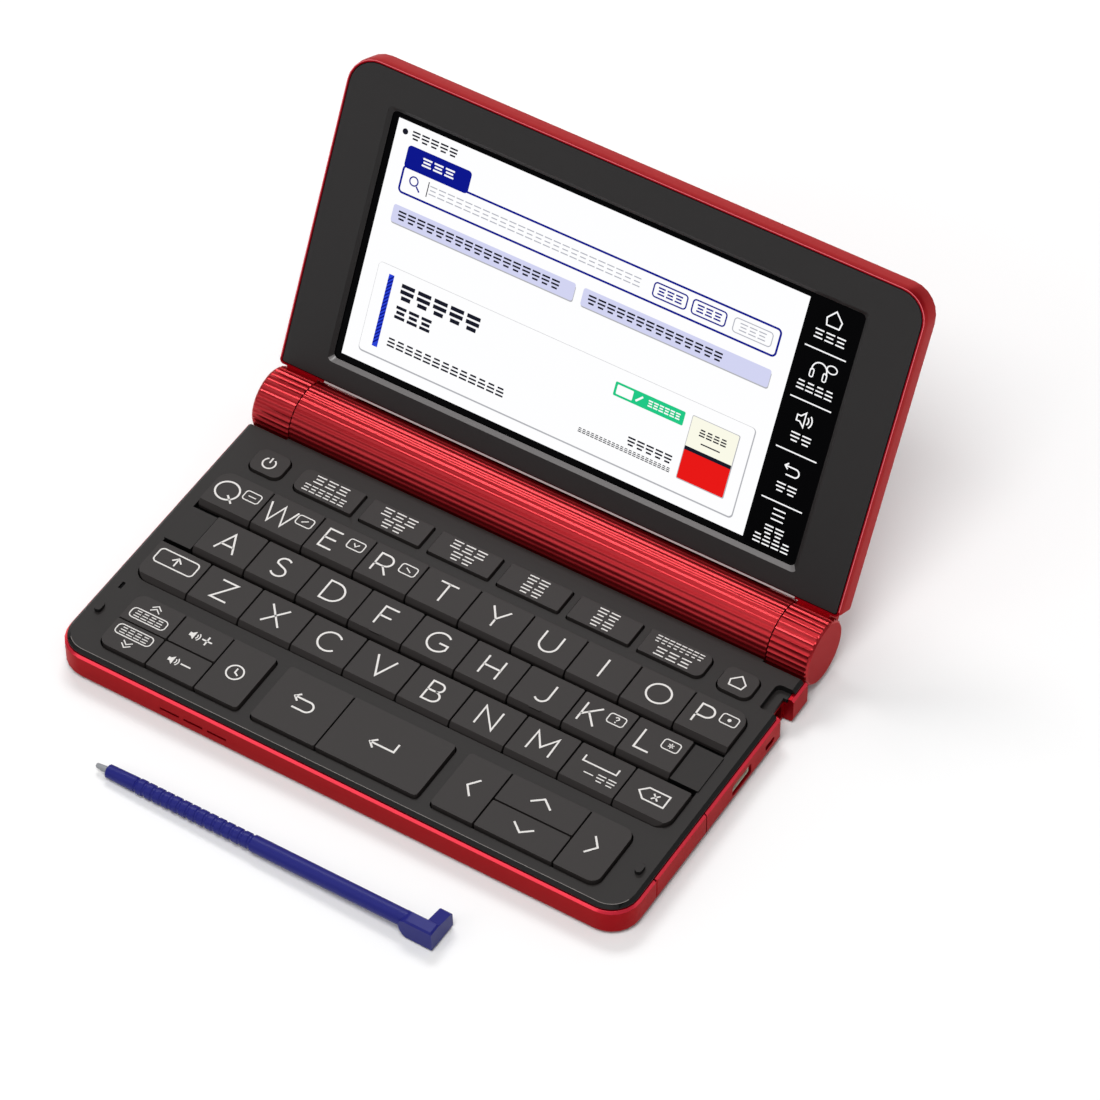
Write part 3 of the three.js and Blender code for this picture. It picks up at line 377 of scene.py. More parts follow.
class Marks:
    """Thin printed or lit shapes on one surface, gathered in one mesh."""

    def __init__(self, place, height=0.03):
        self.bm = bmesh.new()
        self.place = place
        self.height = height

    def rows(self, points):
        """Vertices of a line of points at the foot and at the top of the marks."""
        return [[self.bm.verts.new(self.place(x, y, h)) for x, y in points] for h in (0, self.height)]

    def fill(self, points):
        """Raises a closed outline by the height of the marks."""
        points = without_repeats(points)
        if (points[0] - points[-1]).length < SAME_POINT:
            points.pop()
        low, top = self.rows(points)
        self.bm.faces.new(top)
        self.bm.faces.new(low[::-1])
        for i in range(len(points)):
            self.bm.faces.new((low[i - 1], low[i], top[i], top[i - 1]))

    def line(self, points, width):
        """Stroke of an even width with mitred bends; it closes where its ends meet."""
        points = without_repeats(points)
        closed = (points[0] - points[-1]).length < SAME_POINT
        if closed:
            points.pop()
        count = len(points)
        left, right = [], []
        for i, point in enumerate(points):
            came = (point - points[i - 1]).normalized()
            goes = (points[(i + 1) % count] - point).normalized()
            if not closed and i == 0:
                came = goes
            if not closed and i == count - 1:
                goes = came
            along = (came + goes).normalized()
            side = Vector((-along.y, along.x))
            reach = width / 2 / max(MITRE_LIMIT, side.dot(Vector((-goes.y, goes.x))))
            left.append(point + side * reach)
            right.append(point - side * reach)
        if closed:
            self.band(left, right)
        else:
            self.fill(right + left[::-1])

    def band(self, outer, inner):
        """Closed raised band between two outlines."""
        (a0, a1), (b0, b1) = self.rows(outer), self.rows(inner)
        for i in range(len(outer)):
            self.bm.faces.new((a1[i - 1], a1[i], b1[i], b1[i - 1]))
            self.bm.faces.new((a0[i - 1], b0[i - 1], b0[i], a0[i]))
            self.bm.faces.new((a0[i - 1], a0[i], a1[i], a1[i - 1]))
            self.bm.faces.new((b0[i - 1], b1[i - 1], b1[i], b0[i]))

    def box(self, x0, x1, y0, y1, r=0.0):
        self.fill(round_box(x0, x1, y0, y1, r) if r else [(x0, y0), (x1, y0), (x1, y1), (x0, y1)])

    def done(self, name, material, body, slot):
        """Makes the piece, riding on a body."""
        bmesh.ops.recalc_face_normals(self.bm, faces=self.bm.faces)
        mesh = bpy.data.meshes.new(name)
        self.bm.to_mesh(mesh)
        self.bm.free()
        mesh.materials.append(material)
        o = bpy.data.objects.new(name, mesh)
        bpy.context.scene.collection.objects.link(o)
        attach(o, body)


# Ragged bar lengths, as shares of a cell, that give a field of cells the grey of printed words
CELL_SHARES = (
    ((0.0, 1.0), (0.1, 0.9), (0.0, 1.0)),
    ((0.1, 0.9), (0.0, 1.0), (0.0, 1.0)),
    ((0.0, 1.0), (0.0, 1.0), (0.15, 0.85)),
)
CELL_GAP = 0.2


def cells(marks, x0, x1, y, height, count, weight=0.14):
    """A row of small cells of three bars each, a plain stand-in for words."""
    pitch = (x1 - x0) / count
    gap = CELL_GAP * pitch
    bar = height * weight
    for k in range(count):
        left = x0 + pitch * k + gap / 2
        span = pitch - gap
        shares = CELL_SHARES[(k * 3 + count) % len(CELL_SHARES)]
        for row, (start, end) in enumerate(shares):
            middle = y + (1 - row) * (height - bar) / 2
            marks.box(left + span * start, left + span * end, middle - bar / 2, middle + bar / 2)


# Letters on a cap height of 1: the width of the letter, then its strokes
def bowl(x, bottom, top, width, flat=0.36):
    """Closed half-round bowl on a stem at x."""
    middle, reach = (bottom + top) / 2, (top - bottom) / 2
    return [(x, bottom), (x, top)] + arc(flat, middle, width - flat, reach, 90, -90, 12) + [(x, bottom)]


LETTERS = {
    "a": (0.90, [[(0, 0), (0.45, 1), (0.9, 0)], [(0.15, 0.33), (0.75, 0.33)]]),
    "b": (0.68, [bowl(0, 0.53, 1, 0.61), [(0, 0.53), (0, 0)] + arc(0.36, 0.265, 0.32, 0.265, -90, 90, 12)]),
    "c": (0.9, [arc(0.5, 0.5, 0.5, 0.5, 42, 318, 22)]),
    "d": (0.88, [bowl(0, 0, 1, 0.88)]),
    "e": (0.62, [[(0.62, 1), (0, 1), (0, 0), (0.62, 0)], [(0, 0.51), (0.56, 0.51)]]),
    "f": (0.62, [[(0.64, 1), (0, 1), (0, 0)], [(0, 0.49), (0.56, 0.49)]]),
    "g": (0.94, [arc(0.5, 0.5, 0.5, 0.5, 46, 328, 22) + [(0.94, 0.24), (0.94, 0.47), (0.54, 0.47)]]),
    "h": (0.78, [[(0, 0), (0, 1)], [(0.78, 0), (0.78, 1)], [(0, 0.5), (0.78, 0.5)]]),
    "i": (0.0, [[(0, 0), (0, 1)]]),
    "j": (0.62, [[(0.62, 1), (0.62, 0.3)] + arc(0.32, 0.3, 0.3, 0.3, 0, -140, 10)]),
    "k": (0.76, [[(0, 0), (0, 1)], [(0.7, 1), (0, 0.34)], [(0.25, 0.59), (0.76, 0)]]),
    "l": (0.66, [[(0, 1), (0, 0), (0.66, 0)]]),
    "m": (1.02, [[(0, 0), (0.03, 1), (0.51, 0.3), (0.99, 1), (1.02, 0)]]),
    "n": (0.8, [[(0, 0), (0, 1), (0.8, 0), (0.8, 1)]]),
    "o": (1.06, [arc(0.53, 0.5, 0.53, 0.5, 0, 360, 28)]),
    "p": (0.68, [bowl(0, 0.4, 1, 0.68), [(0, 0.42), (0, 0)]]),
    "q": (1.06, [arc(0.53, 0.5, 0.53, 0.5, 0, 360, 28), [(0.68, 0.3), (1.04, -0.04)]]),
    "r": (0.7, [bowl(0, 0.4, 1, 0.68), [(0, 0.42), (0, 0)], [(0.38, 0.4), (0.7, 0)]]),
    "s": (0.66, [arc(0.34, 0.745, 0.29, 0.255, 40, 205, 12) + arc(0.33, 0.26, 0.32, 0.26, 62, -152, 14)]),
    "t": (0.84, [[(0, 1), (0.84, 1)], [(0.42, 1), (0.42, 0)]]),
    "u": (0.82, [[(0, 1), (0, 0.41)] + arc(0.41, 0.41, 0.41, 0.41, 180, 360, 14) + [(0.82, 1)]]),
    "v": (0.9, [[(0, 1), (0.45, 0), (0.9, 1)]]),
    "w": (1.3, [[(0, 1), (0.325, 0), (0.65, 1), (0.975, 0), (1.3, 1)]]),
    "x": (0.84, [[(0, 1), (0.84, 0)], [(0, 0), (0.84, 1)]]),
    "y": (0.84, [[(0, 1), (0.42, 0.42), (0.84, 1)], [(0.42, 0.42), (0.42, 0)]]),
    "z": (0.76, [[(0, 1), (0.74, 1), (0, 0), (0.76, 0)]]),
}
# Cap height and the stroke widths, in mm
CAP = 6.0
STROKE = 0.5
THIN = 0.42
FRAME_STROKE = THIN * 0.9
FINE = 0.3

# Legends sit by pixels of a flat view of the deck or lid, 13 px to a unit; the case is 148 units wide
UNIT_PX = 13
VIEW_MM = 162 / 148 / UNIT_PX
VIEW_MIDDLE = 76 * UNIT_PX
DECK_VIEW_FRONT = 96 * UNIT_PX
LID_VIEW_HINGE = 92 * UNIT_PX


def deck_xy(px, py):
    """Place on the deck: distance from the middle and from the front face, in mm."""
    return (px - VIEW_MIDDLE) * VIEW_MM, (DECK_VIEW_FRONT - py) * VIEW_MM


def lid_xy(px, py):
    """Place on the lid: distance from the middle and from the hinge axis, in mm."""
    return (px - VIEW_MIDDLE) * VIEW_MM, (LID_VIEW_HINGE - py) * VIEW_MM


LETTER_PX = {
    "q": (142, 514), "w": (326, 514), "e": (505, 514), "r": (688, 514), "t": (897, 514),
    "y": (1077, 514), "u": (1258, 514), "i": (1438, 514), "o": (1621, 513), "p": (1771, 513),
    "a": (262, 681), "s": (443, 680), "d": (627, 680), "f": (806, 680), "g": (984, 680),
    "h": (1166, 679), "j": (1342, 679), "k": (1496, 680), "l": (1682, 679),
    "z": (354, 843), "x": (532, 843), "c": (715, 843), "v": (897, 843), "b": (1076, 843),
    "n": (1258, 843), "m": (1438, 843),
}
# Small outlined fields beside some letters, with a sign of strokes and dots in mm around the middle
FIELD_PX = {
    "q": (219, 498), "w": (404, 497), "e": (582, 496), "r": (763, 496), "p": (1842, 493),
    "k": (1570, 660), "l": (1750, 660),
}
FIELD_SHAPE = (4.5, 3.0, 0.75)
STAR_REACH = 0.8
STAR_SPOKES = [(math.cos(math.radians(turn)), math.sin(math.radians(turn))) for turn in (90, 30, 150)]
FIELD_STROKES = {
    "q": [[(-1.1, 0), (1.1, 0)]],
    "w": [[(-0.8, -0.5), (0.8, 0.5)]],
    "e": [[(-0.8, 0.5), (0, -0.45), (0.8, 0.5)]],
    "r": [[(-0.8, 0.5), (0.8, -0.5)]],
    "k": [arc(0, 0.45, 0.5, 0.42, 170, -60, 8) + [(0, -0.25)]],
    "l": [[(-STAR_REACH * x, -STAR_REACH * y), (STAR_REACH * x, STAR_REACH * y)] for x, y in STAR_SPOKES],
}
STAR_STROKE = FINE * 0.85
# Height over the middle, radius and steps of a dot
FIELD_DOTS = {"p": (0, 0.5, 16), "k": (-0.8, 0.2, 10)}


def key_marks(key):
    """Marks on a key's top; the two keys with a homing bar take the level of their neighbour."""
    level_key = "g" if key in ("f", "j") else key
    return Marks(on_deck(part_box("key_" + level_key)[1].z / MM))


def finish_key(marks, key):
    marks.done("legend_" + key, PRINT, "button_" + key, "key_black")


def placed(points, cx, cy, size=1):
    """Points given around a middle, in mm or in shares of a size."""
    return [(cx + x * size, cy + y * size) for x, y in points]


def strokes_at(marks, cx, cy, strokes, width, size=1):
    for stroke in strokes:
        marks.line(placed(stroke, cx, cy, size), width)


def outlined_field(marks, cx, cy, width, depth, r, stroke=FINE):
    marks.line(round_box(cx - width / 2, cx + width / 2, cy - depth / 2, cy + depth / 2, r), stroke)


def draw_field(marks, letter):
    """Outlined field beside a letter, with its sign."""
    cx, cy = deck_xy(*FIELD_PX[letter])
    outlined_field(marks, cx, cy, *FIELD_SHAPE)
    strokes_at(marks, cx, cy, FIELD_STROKES.get(letter, []), STAR_STROKE if letter == "l" else FINE)
    if letter in FIELD_DOTS:
        rise, r, steps = FIELD_DOTS[letter]
        marks.fill(ring(cx, cy + rise, r, steps))


for letter, (width, strokes) in LETTERS.items():
    cx, cy = deck_xy(*LETTER_PX[letter])
    marks = key_marks(letter)
    strokes_at(marks, cx - width / 2 * CAP, cy - CAP / 2, strokes, STROKE, CAP)
    if letter in FIELD_PX:
        draw_field(marks, letter)
    finish_key(marks, letter)


# Shapes of the icons, in shares of their size
CHEVRON = ((-0.4, 1), (0.4, 0), (-0.4, -1))
CHEVRON_DEG = {"right": 0, "up": 90, "left": 180, "down": 270}
HOUSE = ((0, 0.5), (-0.5, -0.05), (-0.41, -0.5), (0.41, -0.5), (0.5, -0.05), (0, 0.5))
SPEAKER_HALF = [(-1.0, 0.35), (-0.55, 0.35), (0.0, 0.9)]
SPEAKER_HORN = SPEAKER_HALF + [(x, -y) for x, y in SPEAKER_HALF[::-1]]
SPEAKER_WAVES = [arc(-0.1, 0, r, r, -44, 44, 8) for r in (0.62, 1.04)]
HOOK_ARROW = [
    [(-0.75, -0.62)] + arc(0.55, 0, 0.62, 0.62, -90, 90, 14) + [(-1.1, 0.62)],
    [(-0.67, 1.07), (-1.15, 0.62), (-0.67, 0.17)],
]


def chevron(marks, cx, cy, size, direction, width):
    """V shape that points left, right, up or down."""
    turn = math.radians(CHEVRON_DEG[direction])
    c, s = math.cos(turn), math.sin(turn)
    marks.line(placed([(x * c - y * s, x * s + y * c) for x, y in CHEVRON], cx, cy, size), width)


def house(marks, cx, cy, width, height, stroke):
    """Plain five-sided house."""
    marks.line([(cx + x * width, cy + y * height) for x, y in HOUSE], stroke)


def speaker(marks, cx, cy, size, stroke, solid=True):
    """Loudspeaker with sound waves to its right."""
    horn = placed(SPEAKER_HORN, cx, cy, size)
    if solid:
        marks.fill(horn)
    else:
        marks.line(horn + horn[:1], stroke)
    strokes_at(marks, cx, cy, SPEAKER_WAVES, stroke, size)


# Middles of the other legends
LEGEND_PX = {
    "power": (184, 357), "home": (1790, 353), "shift": (174, 825), "space": (1619, 824),
    "delete": (1801, 842), "prev": (228, 1045), "next": (228, 1117), "history": (552, 1081),
    "back": (781, 1081), "enter": (1058, 1081),
    "left": (1349, 1079), "up": (1550, 1023), "down": (1550, 1134), "right": (1751, 1079),
}
# Strokes in mm around the middle
LEGEND_STROKES = {
    "power": [arc(0, 0, 1.7, 1.7, 122, 418, 24), [(0, 0.2), (0, 2.0)]],
    "shift": [[(-1.3, 0.05), (0, 1.3), (1.3, 0.05)], [(0, 1.1), (0, -1.4)]],
    "space": [[(-4.6, 1.1), (-4.6, -0.7), (4.6, -0.7), (4.6, 1.1)]],
    "delete": [
        [(-3.9, 0), (-2.0, 1.85), (3.7, 1.85), (3.7, -1.85), (-2.0, -1.85), (-3.9, 0)],
        [(-0.2, 0.85), (1.5, -0.85)],
        [(-0.2, -0.85), (1.5, 0.85)],
    ],
    "history": [ring(0, 0, 2.2), [(0, 1.35), (0, 0), (1.1, -0.65)]],
    "enter": [[(3.3, 1.9), (3.3, -0.8), (-3.3, -0.8)], [(-1.9, 0.6), (-3.4, -0.8), (-1.9, -2.2)]],
}


def begin_key(key, width=THIN):
    """Marks of a key with its strokes drawn, and the middle of its legend."""
    marks = key_marks(key)
    cx, cy = deck_xy(*LEGEND_PX[key])
    strokes_at(marks, cx, cy, LEGEND_STROKES.get(key, []), width)
    return marks, cx, cy


def stroke_key(key, width=THIN):
    """A key whose legend is strokes alone."""
    finish_key(begin_key(key, width)[0], key)


stroke_key("power")
KEY_HOUSE = (4.2, 3.7)
marks, cx, cy = begin_key("home")
house(marks, cx, cy, *KEY_HOUSE, FRAME_STROKE)
finish_key(marks, "home")

# Function keys: two rows of cells, each row as first px, last px, line px, cell height in mm and count
FUNCTION_ROWS_PX = {
    "f1": ((330, 452, 335, 2.5, 3), (316, 465, 376, 2.2, 6)),
    "f2": ((568, 690, 335, 2.5, 3), (590, 668, 375, 2.5, 2)),
    "f3": ((808, 930, 335, 2.5, 3), (829, 907, 375, 2.5, 2)),
    "f4": ((1068, 1144, 335, 2.5, 2), (1068, 1144, 375, 2.5, 2)),
    "f5": ((1306, 1382, 335, 2.5, 2), (1306, 1382, 375, 2.5, 2)),
    "f6": ((1503, 1663, 333, 2.1, 8), (1522, 1644, 375, 2.5, 3)),
}


def deck_cells(marks, first_px, last_px, line_px, height, count):
    x0, y = deck_xy(first_px, line_px)
    cells(marks, x0, deck_xy(last_px, line_px)[0], y, height, count)


for key, lines in FUNCTION_ROWS_PX.items():
    marks = key_marks(key)
    for line in lines:
        deck_cells(marks, *line)
    finish_key(marks, key)

# Shift: an arrow in an outlined field
SHIFT_FIELD = (11.4, 4.6, 1.1)
marks, cx, cy = begin_key("shift")
outlined_field(marks, cx, cy, *SHIFT_FIELD, FRAME_STROKE)
finish_key(marks, "shift")

# Space: the usual open bracket, with a small bar and cells below
SPACE_BAR_PX = (1588, 867)
SPACE_BAR = 2.6
SPACE_CELLS_PX = (1626, 1692, 867, 2.2, 2)
marks, cx, cy = begin_key("space")
x0, y = deck_xy(*SPACE_BAR_PX)
marks.line([(x0, y), (x0 + SPACE_BAR, y)], FINE)
deck_cells(marks, *SPACE_CELLS_PX)
finish_key(marks, "space")

# Delete: a tag that points left, with a cross
stroke_key("delete")

# Entry keys: a double chevron over or under an outlined field of cells
ENTRY_CHEVRONS_PX = {"prev": (997, 1009), "next": (1153, 1165)}
ENTRY_FIELD = (10.2, 3.1, 1.1)
ENTRY_CELLS_REACH = 4.1
ENTRY_CELL_HEIGHT = 1.9
ENTRY_CHEVRON = 1.3
for key, chevrons_px in ENTRY_CHEVRONS_PX.items():
    marks, cx, cy = begin_key(key)
    outlined_field(marks, cx, cy, *ENTRY_FIELD)
    cells(marks, cx - ENTRY_CELLS_REACH, cx + ENTRY_CELLS_REACH, cy, ENTRY_CELL_HEIGHT, 4)
    for chevron_px in chevrons_px:
        chevron_y = deck_xy(0, chevron_px)[1]
        chevron(marks, cx, chevron_y, ENTRY_CHEVRON, "up" if key == "prev" else "down", FINE)
    finish_key(marks, key)

# Volume keys: a speaker and a sign
VOLUME_LINES_PX = {"vol_up": 1027, "vol_down": 1136}
VOLUME_SPEAKER_PX = 377
VOLUME_SIGN_PX = 419
KEY_SPEAKER = 1.5
SIGN_REACH = 1.4
for key, line_px in VOLUME_LINES_PX.items():
    marks = key_marks(key)
    speaker(marks, *deck_xy(VOLUME_SPEAKER_PX, line_px), KEY_SPEAKER, FINE)
    cx, cy = deck_xy(VOLUME_SIGN_PX, line_px)
    marks.line([(cx - SIGN_REACH, cy), (cx + SIGN_REACH, cy)], THIN)
    if key == "vol_up":
        marks.line([(cx, cy - SIGN_REACH), (cx, cy + SIGN_REACH)], THIN)
    finish_key(marks, key)

# History: a clock. Back: an arrow that turns back over itself. Enter: a broken arrow.
BACK_SIZE = 2.6
ARROW_SIZE = 2.75
stroke_key("history")
marks, cx, cy = begin_key("back")
strokes_at(marks, cx, cy, HOOK_ARROW, STROKE, BACK_SIZE)
finish_key(marks, "back")
stroke_key("enter", STROKE)
for key in ("left", "up", "down", "right"):
    marks, cx, cy = begin_key(key)
    chevron(marks, cx, cy, ARROW_SIZE, key, STROKE)
    finish_key(marks, key)


# Screen: lit fields in thin layers over the panel, placed by pixels of a flat view of the lid
LAYER = 0.02
LAYER_SHARE = 0.9
ICON_STROKE = 0.36


def px_box(marks, x0, y0, x1, y1, r=0):
    """Filled box; this and the next ones take pixels of the view."""
    a, d = lid_xy(x0, y0)
    b, c = lid_xy(x1, y1)
    marks.box(a, b, c, d, r * VIEW_MM)


def px_frame(marks, x0, y0, x1, y1, r, stroke):
    a, d = lid_xy(x0, y0)
    b, c = lid_xy(x1, y1)
    marks.line(round_box(a, b, c, d, r * VIEW_MM, 6), stroke * VIEW_MM)


def px_line(marks, points, stroke):
    marks.line([lid_xy(*point) for point in points], stroke * VIEW_MM)


def px_cells(marks, x0, x1, line, height, count, weight=0.2):
    a, y = lid_xy(x0, line)
    cells(marks, a, lid_xy(x1, line)[0], y, height * VIEW_MM, count, weight)


def screen_piece(name, colour, level, draw):
    """Draws one colour of one layer and names it as a piece of the lid."""
    marks = Marks(on_lid(PANEL_PLANE + LAYER * level), height=LAYER * LAYER_SHARE)
    draw(marks)
    marks.done("screen_" + name, UI[colour], "lid", "screen")


# Filled boxes: left, top, right, bottom and the radius of round corners
PAGE_PX = (215, 213, 1593, 978)
STRIP_PX = (1600, 200, 1768, 992, 6)
TAB_PX = (266, 279, 485, 350, 12)
BUTTONS_PX = ((266, 468, 890, 524, 8), (917, 468, 1542, 524, 8))
BUTTON_SHADES_PX = ((268, 474, 892, 528, 8), (919, 474, 1544, 528, 8))
CARD_PX = (265, 655, 1543, 940, 12)
CARD_SHADE_PX = (264, 654, 1547, 945, 14)
STRIPE_PX = (305, 680, 323, 914)
TAG_PX = (1089, 696, 1323, 740, 4)
TAG_FIELD_PX = (1097, 703, 1151, 733, 3)
COVER_EDGE_PX = (1346, 694, 1505, 898, 5)
COVER_PX = (1348, 696, 1502, 895, 4)
COVER_BAND_PX = (1348, 800, 1502, 895, 4)
COVER_FOLD_PX = (1348, 791, 1502, 803)
# Frames: the same, then the stroke
SEARCH_PX = (268, 343, 1538, 427, 13, 6.5)
CHOICES_PX = ((1126, 362, 1236, 406, 10, 4.5), (1255, 362, 1365, 406, 10, 4.5))
FAINT_CHOICE_PX = (1391, 362, 1517, 406, 10, 3)
# Lines: their points, then the stroke
HANDLE_PX = ([(321, 392), (334, 406)], 5)
CURSOR_PX = ([(359, 362), (359, 409)], 3)
TAG_SLASH_PX = ([(1163, 728), (1183, 708)], 6)
COVER_LINE_PX = ([(1393, 768), (1457, 768)], 4)
# Round marks: their middles in px and radii in mm
LENS_PX = (310, 380)
LENS_RADIUS = 1.15
BULLET_PX = (245, 246)
BULLET_RADIUS = 0.78
# Rows of cells: left, right, line, height and count, then the share of a bar where it isn't the usual one
TAB_CELLS_PX = (318, 434, 312, 26, 3)
CHOICE_CELLS_PX = ((1138, 1224, 384, 24, 3), (1267, 1353, 384, 24, 3))
FAINT_CELLS_PX = ((362, 1085, 385, 28, 24, 0.12), (1408, 1500, 384, 24, 3, 0.14))
WORD_CELLS_PX = (
    (266, 426, 247, 26, 5), (283, 842, 496, 28, 17), (934, 1388, 496, 28, 14), (348, 632, 717, 50, 5, 0.25),
    (349, 480, 783, 40, 3, 0.24), (349, 758, 881, 28, 13), (1168, 1322, 853, 27, 5), (1011, 1323, 885, 14, 22),
)
TAG_CELLS_PX = (1201, 1311, 718, 20, 6)
COVER_CELLS_PX = (1378, 1472, 736, 22, 4)
# Slanted bars of the stripe
HATCH_STEPS = 17


def rows_of_cells(marks, rows):
    for row in rows:
        px_cells(marks, *row)


def draw_shades(marks):
    for box in BUTTON_SHADES_PX:
        px_box(marks, *box)
    px_box(marks, *CARD_SHADE_PX)


def draw_search_frame(marks):
    px_box(marks, *TAB_PX)
    px_frame(marks, *SEARCH_PX)


def draw_search_marks(marks):
    marks.line(ring(*lid_xy(*LENS_PX), LENS_RADIUS, 24), ICON_STROKE)
    px_line(marks, *HANDLE_PX)
    for box in CHOICES_PX:
        px_frame(marks, *box)
    rows_of_cells(marks, CHOICE_CELLS_PX)


def draw_placeholder(marks):
    px_frame(marks, *FAINT_CHOICE_PX)
    rows_of_cells(marks, FAINT_CELLS_PX)


def draw_words(marks):
    marks.fill(ring(*lid_xy(*BULLET_PX), BULLET_RADIUS, 20))
    rows_of_cells(marks, WORD_CELLS_PX)
    px_line(marks, *CURSOR_PX)


def draw_stripe_hatch(marks):
    """Slanted bars across the card's stripe."""
    x0, y0, x1, y1 = STRIPE_PX
    width = x1 - x0
    pitch = (y1 - y0 - width) / HATCH_STEPS
    for i in range(HATCH_STEPS):
        y = y0 + width + pitch * i
        slant = [(x0, y), (x1, y - width), (x1, y - width + pitch / 2), (x0, y + pitch / 2)]
        marks.fill([lid_xy(*point) for point in slant])


def draw_tag_marks(marks):
    px_box(marks, *TAG_FIELD_PX)
    px_line(marks, *TAG_SLASH_PX)
    px_cells(marks, *TAG_CELLS_PX)


def draw_cover_marks(marks):
    px_box(marks, *COVER_FOLD_PX)
    px_cells(marks, *COVER_CELLS_PX)
    px_line(marks, *COVER_LINE_PX)


# Strip of icons beside the page
SEPARATORS_PX = (352, 513, 674, 836)
SEPARATOR_ENDS_PX = (1615, 1748)
STRIP_CELLS_PX = (
    (1630, 1735, 306, 28, 3, 0.15), (1621, 1742, 470, 28, 4, 0.15), (1645, 1717, 627, 28, 2, 0.15),
    (1645, 1717, 788, 28, 2, 0.15), (1647, 1715, 926, 28, 2, 0.15), (1621, 1743, 962, 28, 4, 0.15),
)
MENU_LINES_PX = (858, 874, 890)
MENU_ENDS_PX = (1661, 1701)
HOUSE_PX = (1682, 248)
HEADPHONES_PX = (1679, 410)
BUBBLE_PX = (1716, 393)
SPEAKER_PX = (1678, 568)
HOOK_PX = (1683, 732)
ROUND_STROKE = 0.34
STRIP_HOUSE = (4.1, 4.0)
STRIP_SPEAKER = 2.1
STRIP_HOOK = 1.75
BOW_RADIUS = 2.0
EAR_SIDE, EAR_DROP = 1.75, 1.2
EAR_SHAPE = (0.95, 2.1, 0.4, 0.3)
BUBBLE_SHAPE = (1.35, 1.0)
LEVEL_STROKE_PX = 4


def level_lines(marks, ends, levels):
    for y in levels:
        px_line(marks, [(x, y) for x in ends], LEVEL_STROKE_PX)


def draw_strip_marks(marks):
    level_lines(marks, SEPARATOR_ENDS_PX, SEPARATORS_PX)
    rows_of_cells(marks, STRIP_CELLS_PX)
    house(marks, *lid_xy(*HOUSE_PX), *STRIP_HOUSE, ICON_STROKE)
    # headphones with a speech bubble
    cx, cy = lid_xy(*HEADPHONES_PX)
    marks.line(arc(cx, cy, BOW_RADIUS, BOW_RADIUS, 195, -15, 16), ROUND_STROKE)
    for side in (-1, 1):
        outlined_field(marks, cx + side * EAR_SIDE, cy - EAR_DROP, *EAR_SHAPE)
    marks.line(arc(*lid_xy(*BUBBLE_PX), *BUBBLE_SHAPE, 0, 360, 20), FINE)
    speaker(marks, *lid_xy(*SPEAKER_PX), STRIP_SPEAKER, ROUND_STROKE, solid=False)
    strokes_at(marks, *lid_xy(*HOOK_PX), HOOK_ARROW, ICON_STROKE, STRIP_HOOK)
    level_lines(marks, MENU_ENDS_PX, MENU_LINES_PX)


screen_piece("page", "white", 0, lambda marks: px_box(marks, *PAGE_PX))
screen_piece("strip", "black", 0, lambda marks: px_box(marks, *STRIP_PX))
screen_piece("shade", "shade", 1, draw_shades)
screen_piece("search_frame", "navy", 1, draw_search_frame)
screen_piece("card", "white", 2, lambda marks: px_box(marks, *CARD_PX))
screen_piece("buttons", "lavender", 2, lambda marks: [px_box(marks, *box) for box in BUTTONS_PX])
screen_piece("search_marks", "navy", 2, draw_search_marks)
screen_piece("placeholder", "grey", 2, draw_placeholder)
screen_piece("tab_mark", "white", 2, lambda marks: px_cells(marks, *TAB_CELLS_PX))
screen_piece("words", "ink", 3, draw_words)
screen_piece("stripe", "blue", 3, lambda marks: px_box(marks, *STRIPE_PX))
screen_piece("stripe_hatch", "navy", 4, draw_stripe_hatch)
screen_piece("tag", "green", 3, lambda marks: px_box(marks, *TAG_PX))
screen_piece("tag_marks", "white", 4, draw_tag_marks)
screen_piece("cover_edge", "shade", 3, lambda marks: px_box(marks, *COVER_EDGE_PX))
screen_piece("cover", "cream", 4, lambda marks: px_box(marks, *COVER_PX))
screen_piece("cover_band", "red", 5, lambda marks: px_box(marks, *COVER_BAND_PX))
screen_piece("cover_marks", "ink", 6, draw_cover_marks)
screen_piece("icons", "white", 2, draw_strip_marks)

# Pale lip along the foot of the bezel, between the knuckles, as a painted highlight of its edge, and a seal in
# the gap behind it
LIP_ENDS = (-BARREL_HALF + 1.6, BARREL_HALF - 0.2)
LIP_SIDES = (BEZEL_FOOT + 0.04, BEZEL_FOOT + 0.5)
LIP_HEIGHT = 0.08
SEAL_PLANE = BEZEL_PLANE - 2.15
SEAL_END = BARREL_HALF - 0.4
SEAL_SIDES = (BEZEL_FOOT - 1.05, BEZEL_FOOT + 0.02)
SEAL_HEIGHT = 0.3
lip = Marks(on_lid(BEZEL_PLANE), height=LIP_HEIGHT)
lip.box(*LIP_ENDS, *LIP_SIDES)
lip.done("bezel_lip_highlight", BEZEL_LIP_HIGHLIGHT, "lid", "bezel_black")
seal = Marks(on_lid(SEAL_PLANE), height=SEAL_HEIGHT)
seal.box(-SEAL_END, SEAL_END, *SEAL_SIDES)
seal.done("gap_seal", RED, "lid", "red_shell")

# Painted highlight line along the lid's rim, a little inside its outline
RIM_INSET = 0.14
RIM_STROKE = 0.2
RIM_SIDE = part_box("lid_shell")[1].x / MM - 0.25 - RIM_INSET
RIM_TOP = 94.75 - RIM_INSET
RIM_RADIUS = 7.75 - RIM_INSET
RIM_FOOT = BEZEL_FOOT + 1.5


def rim_corner(side, start, end):
    """Corner of the rim on the left, side -1, or on the right, side 1."""
    return arc(side * (RIM_SIDE - RIM_RADIUS), RIM_TOP - RIM_RADIUS, RIM_RADIUS, RIM_RADIUS, start, end, 10)


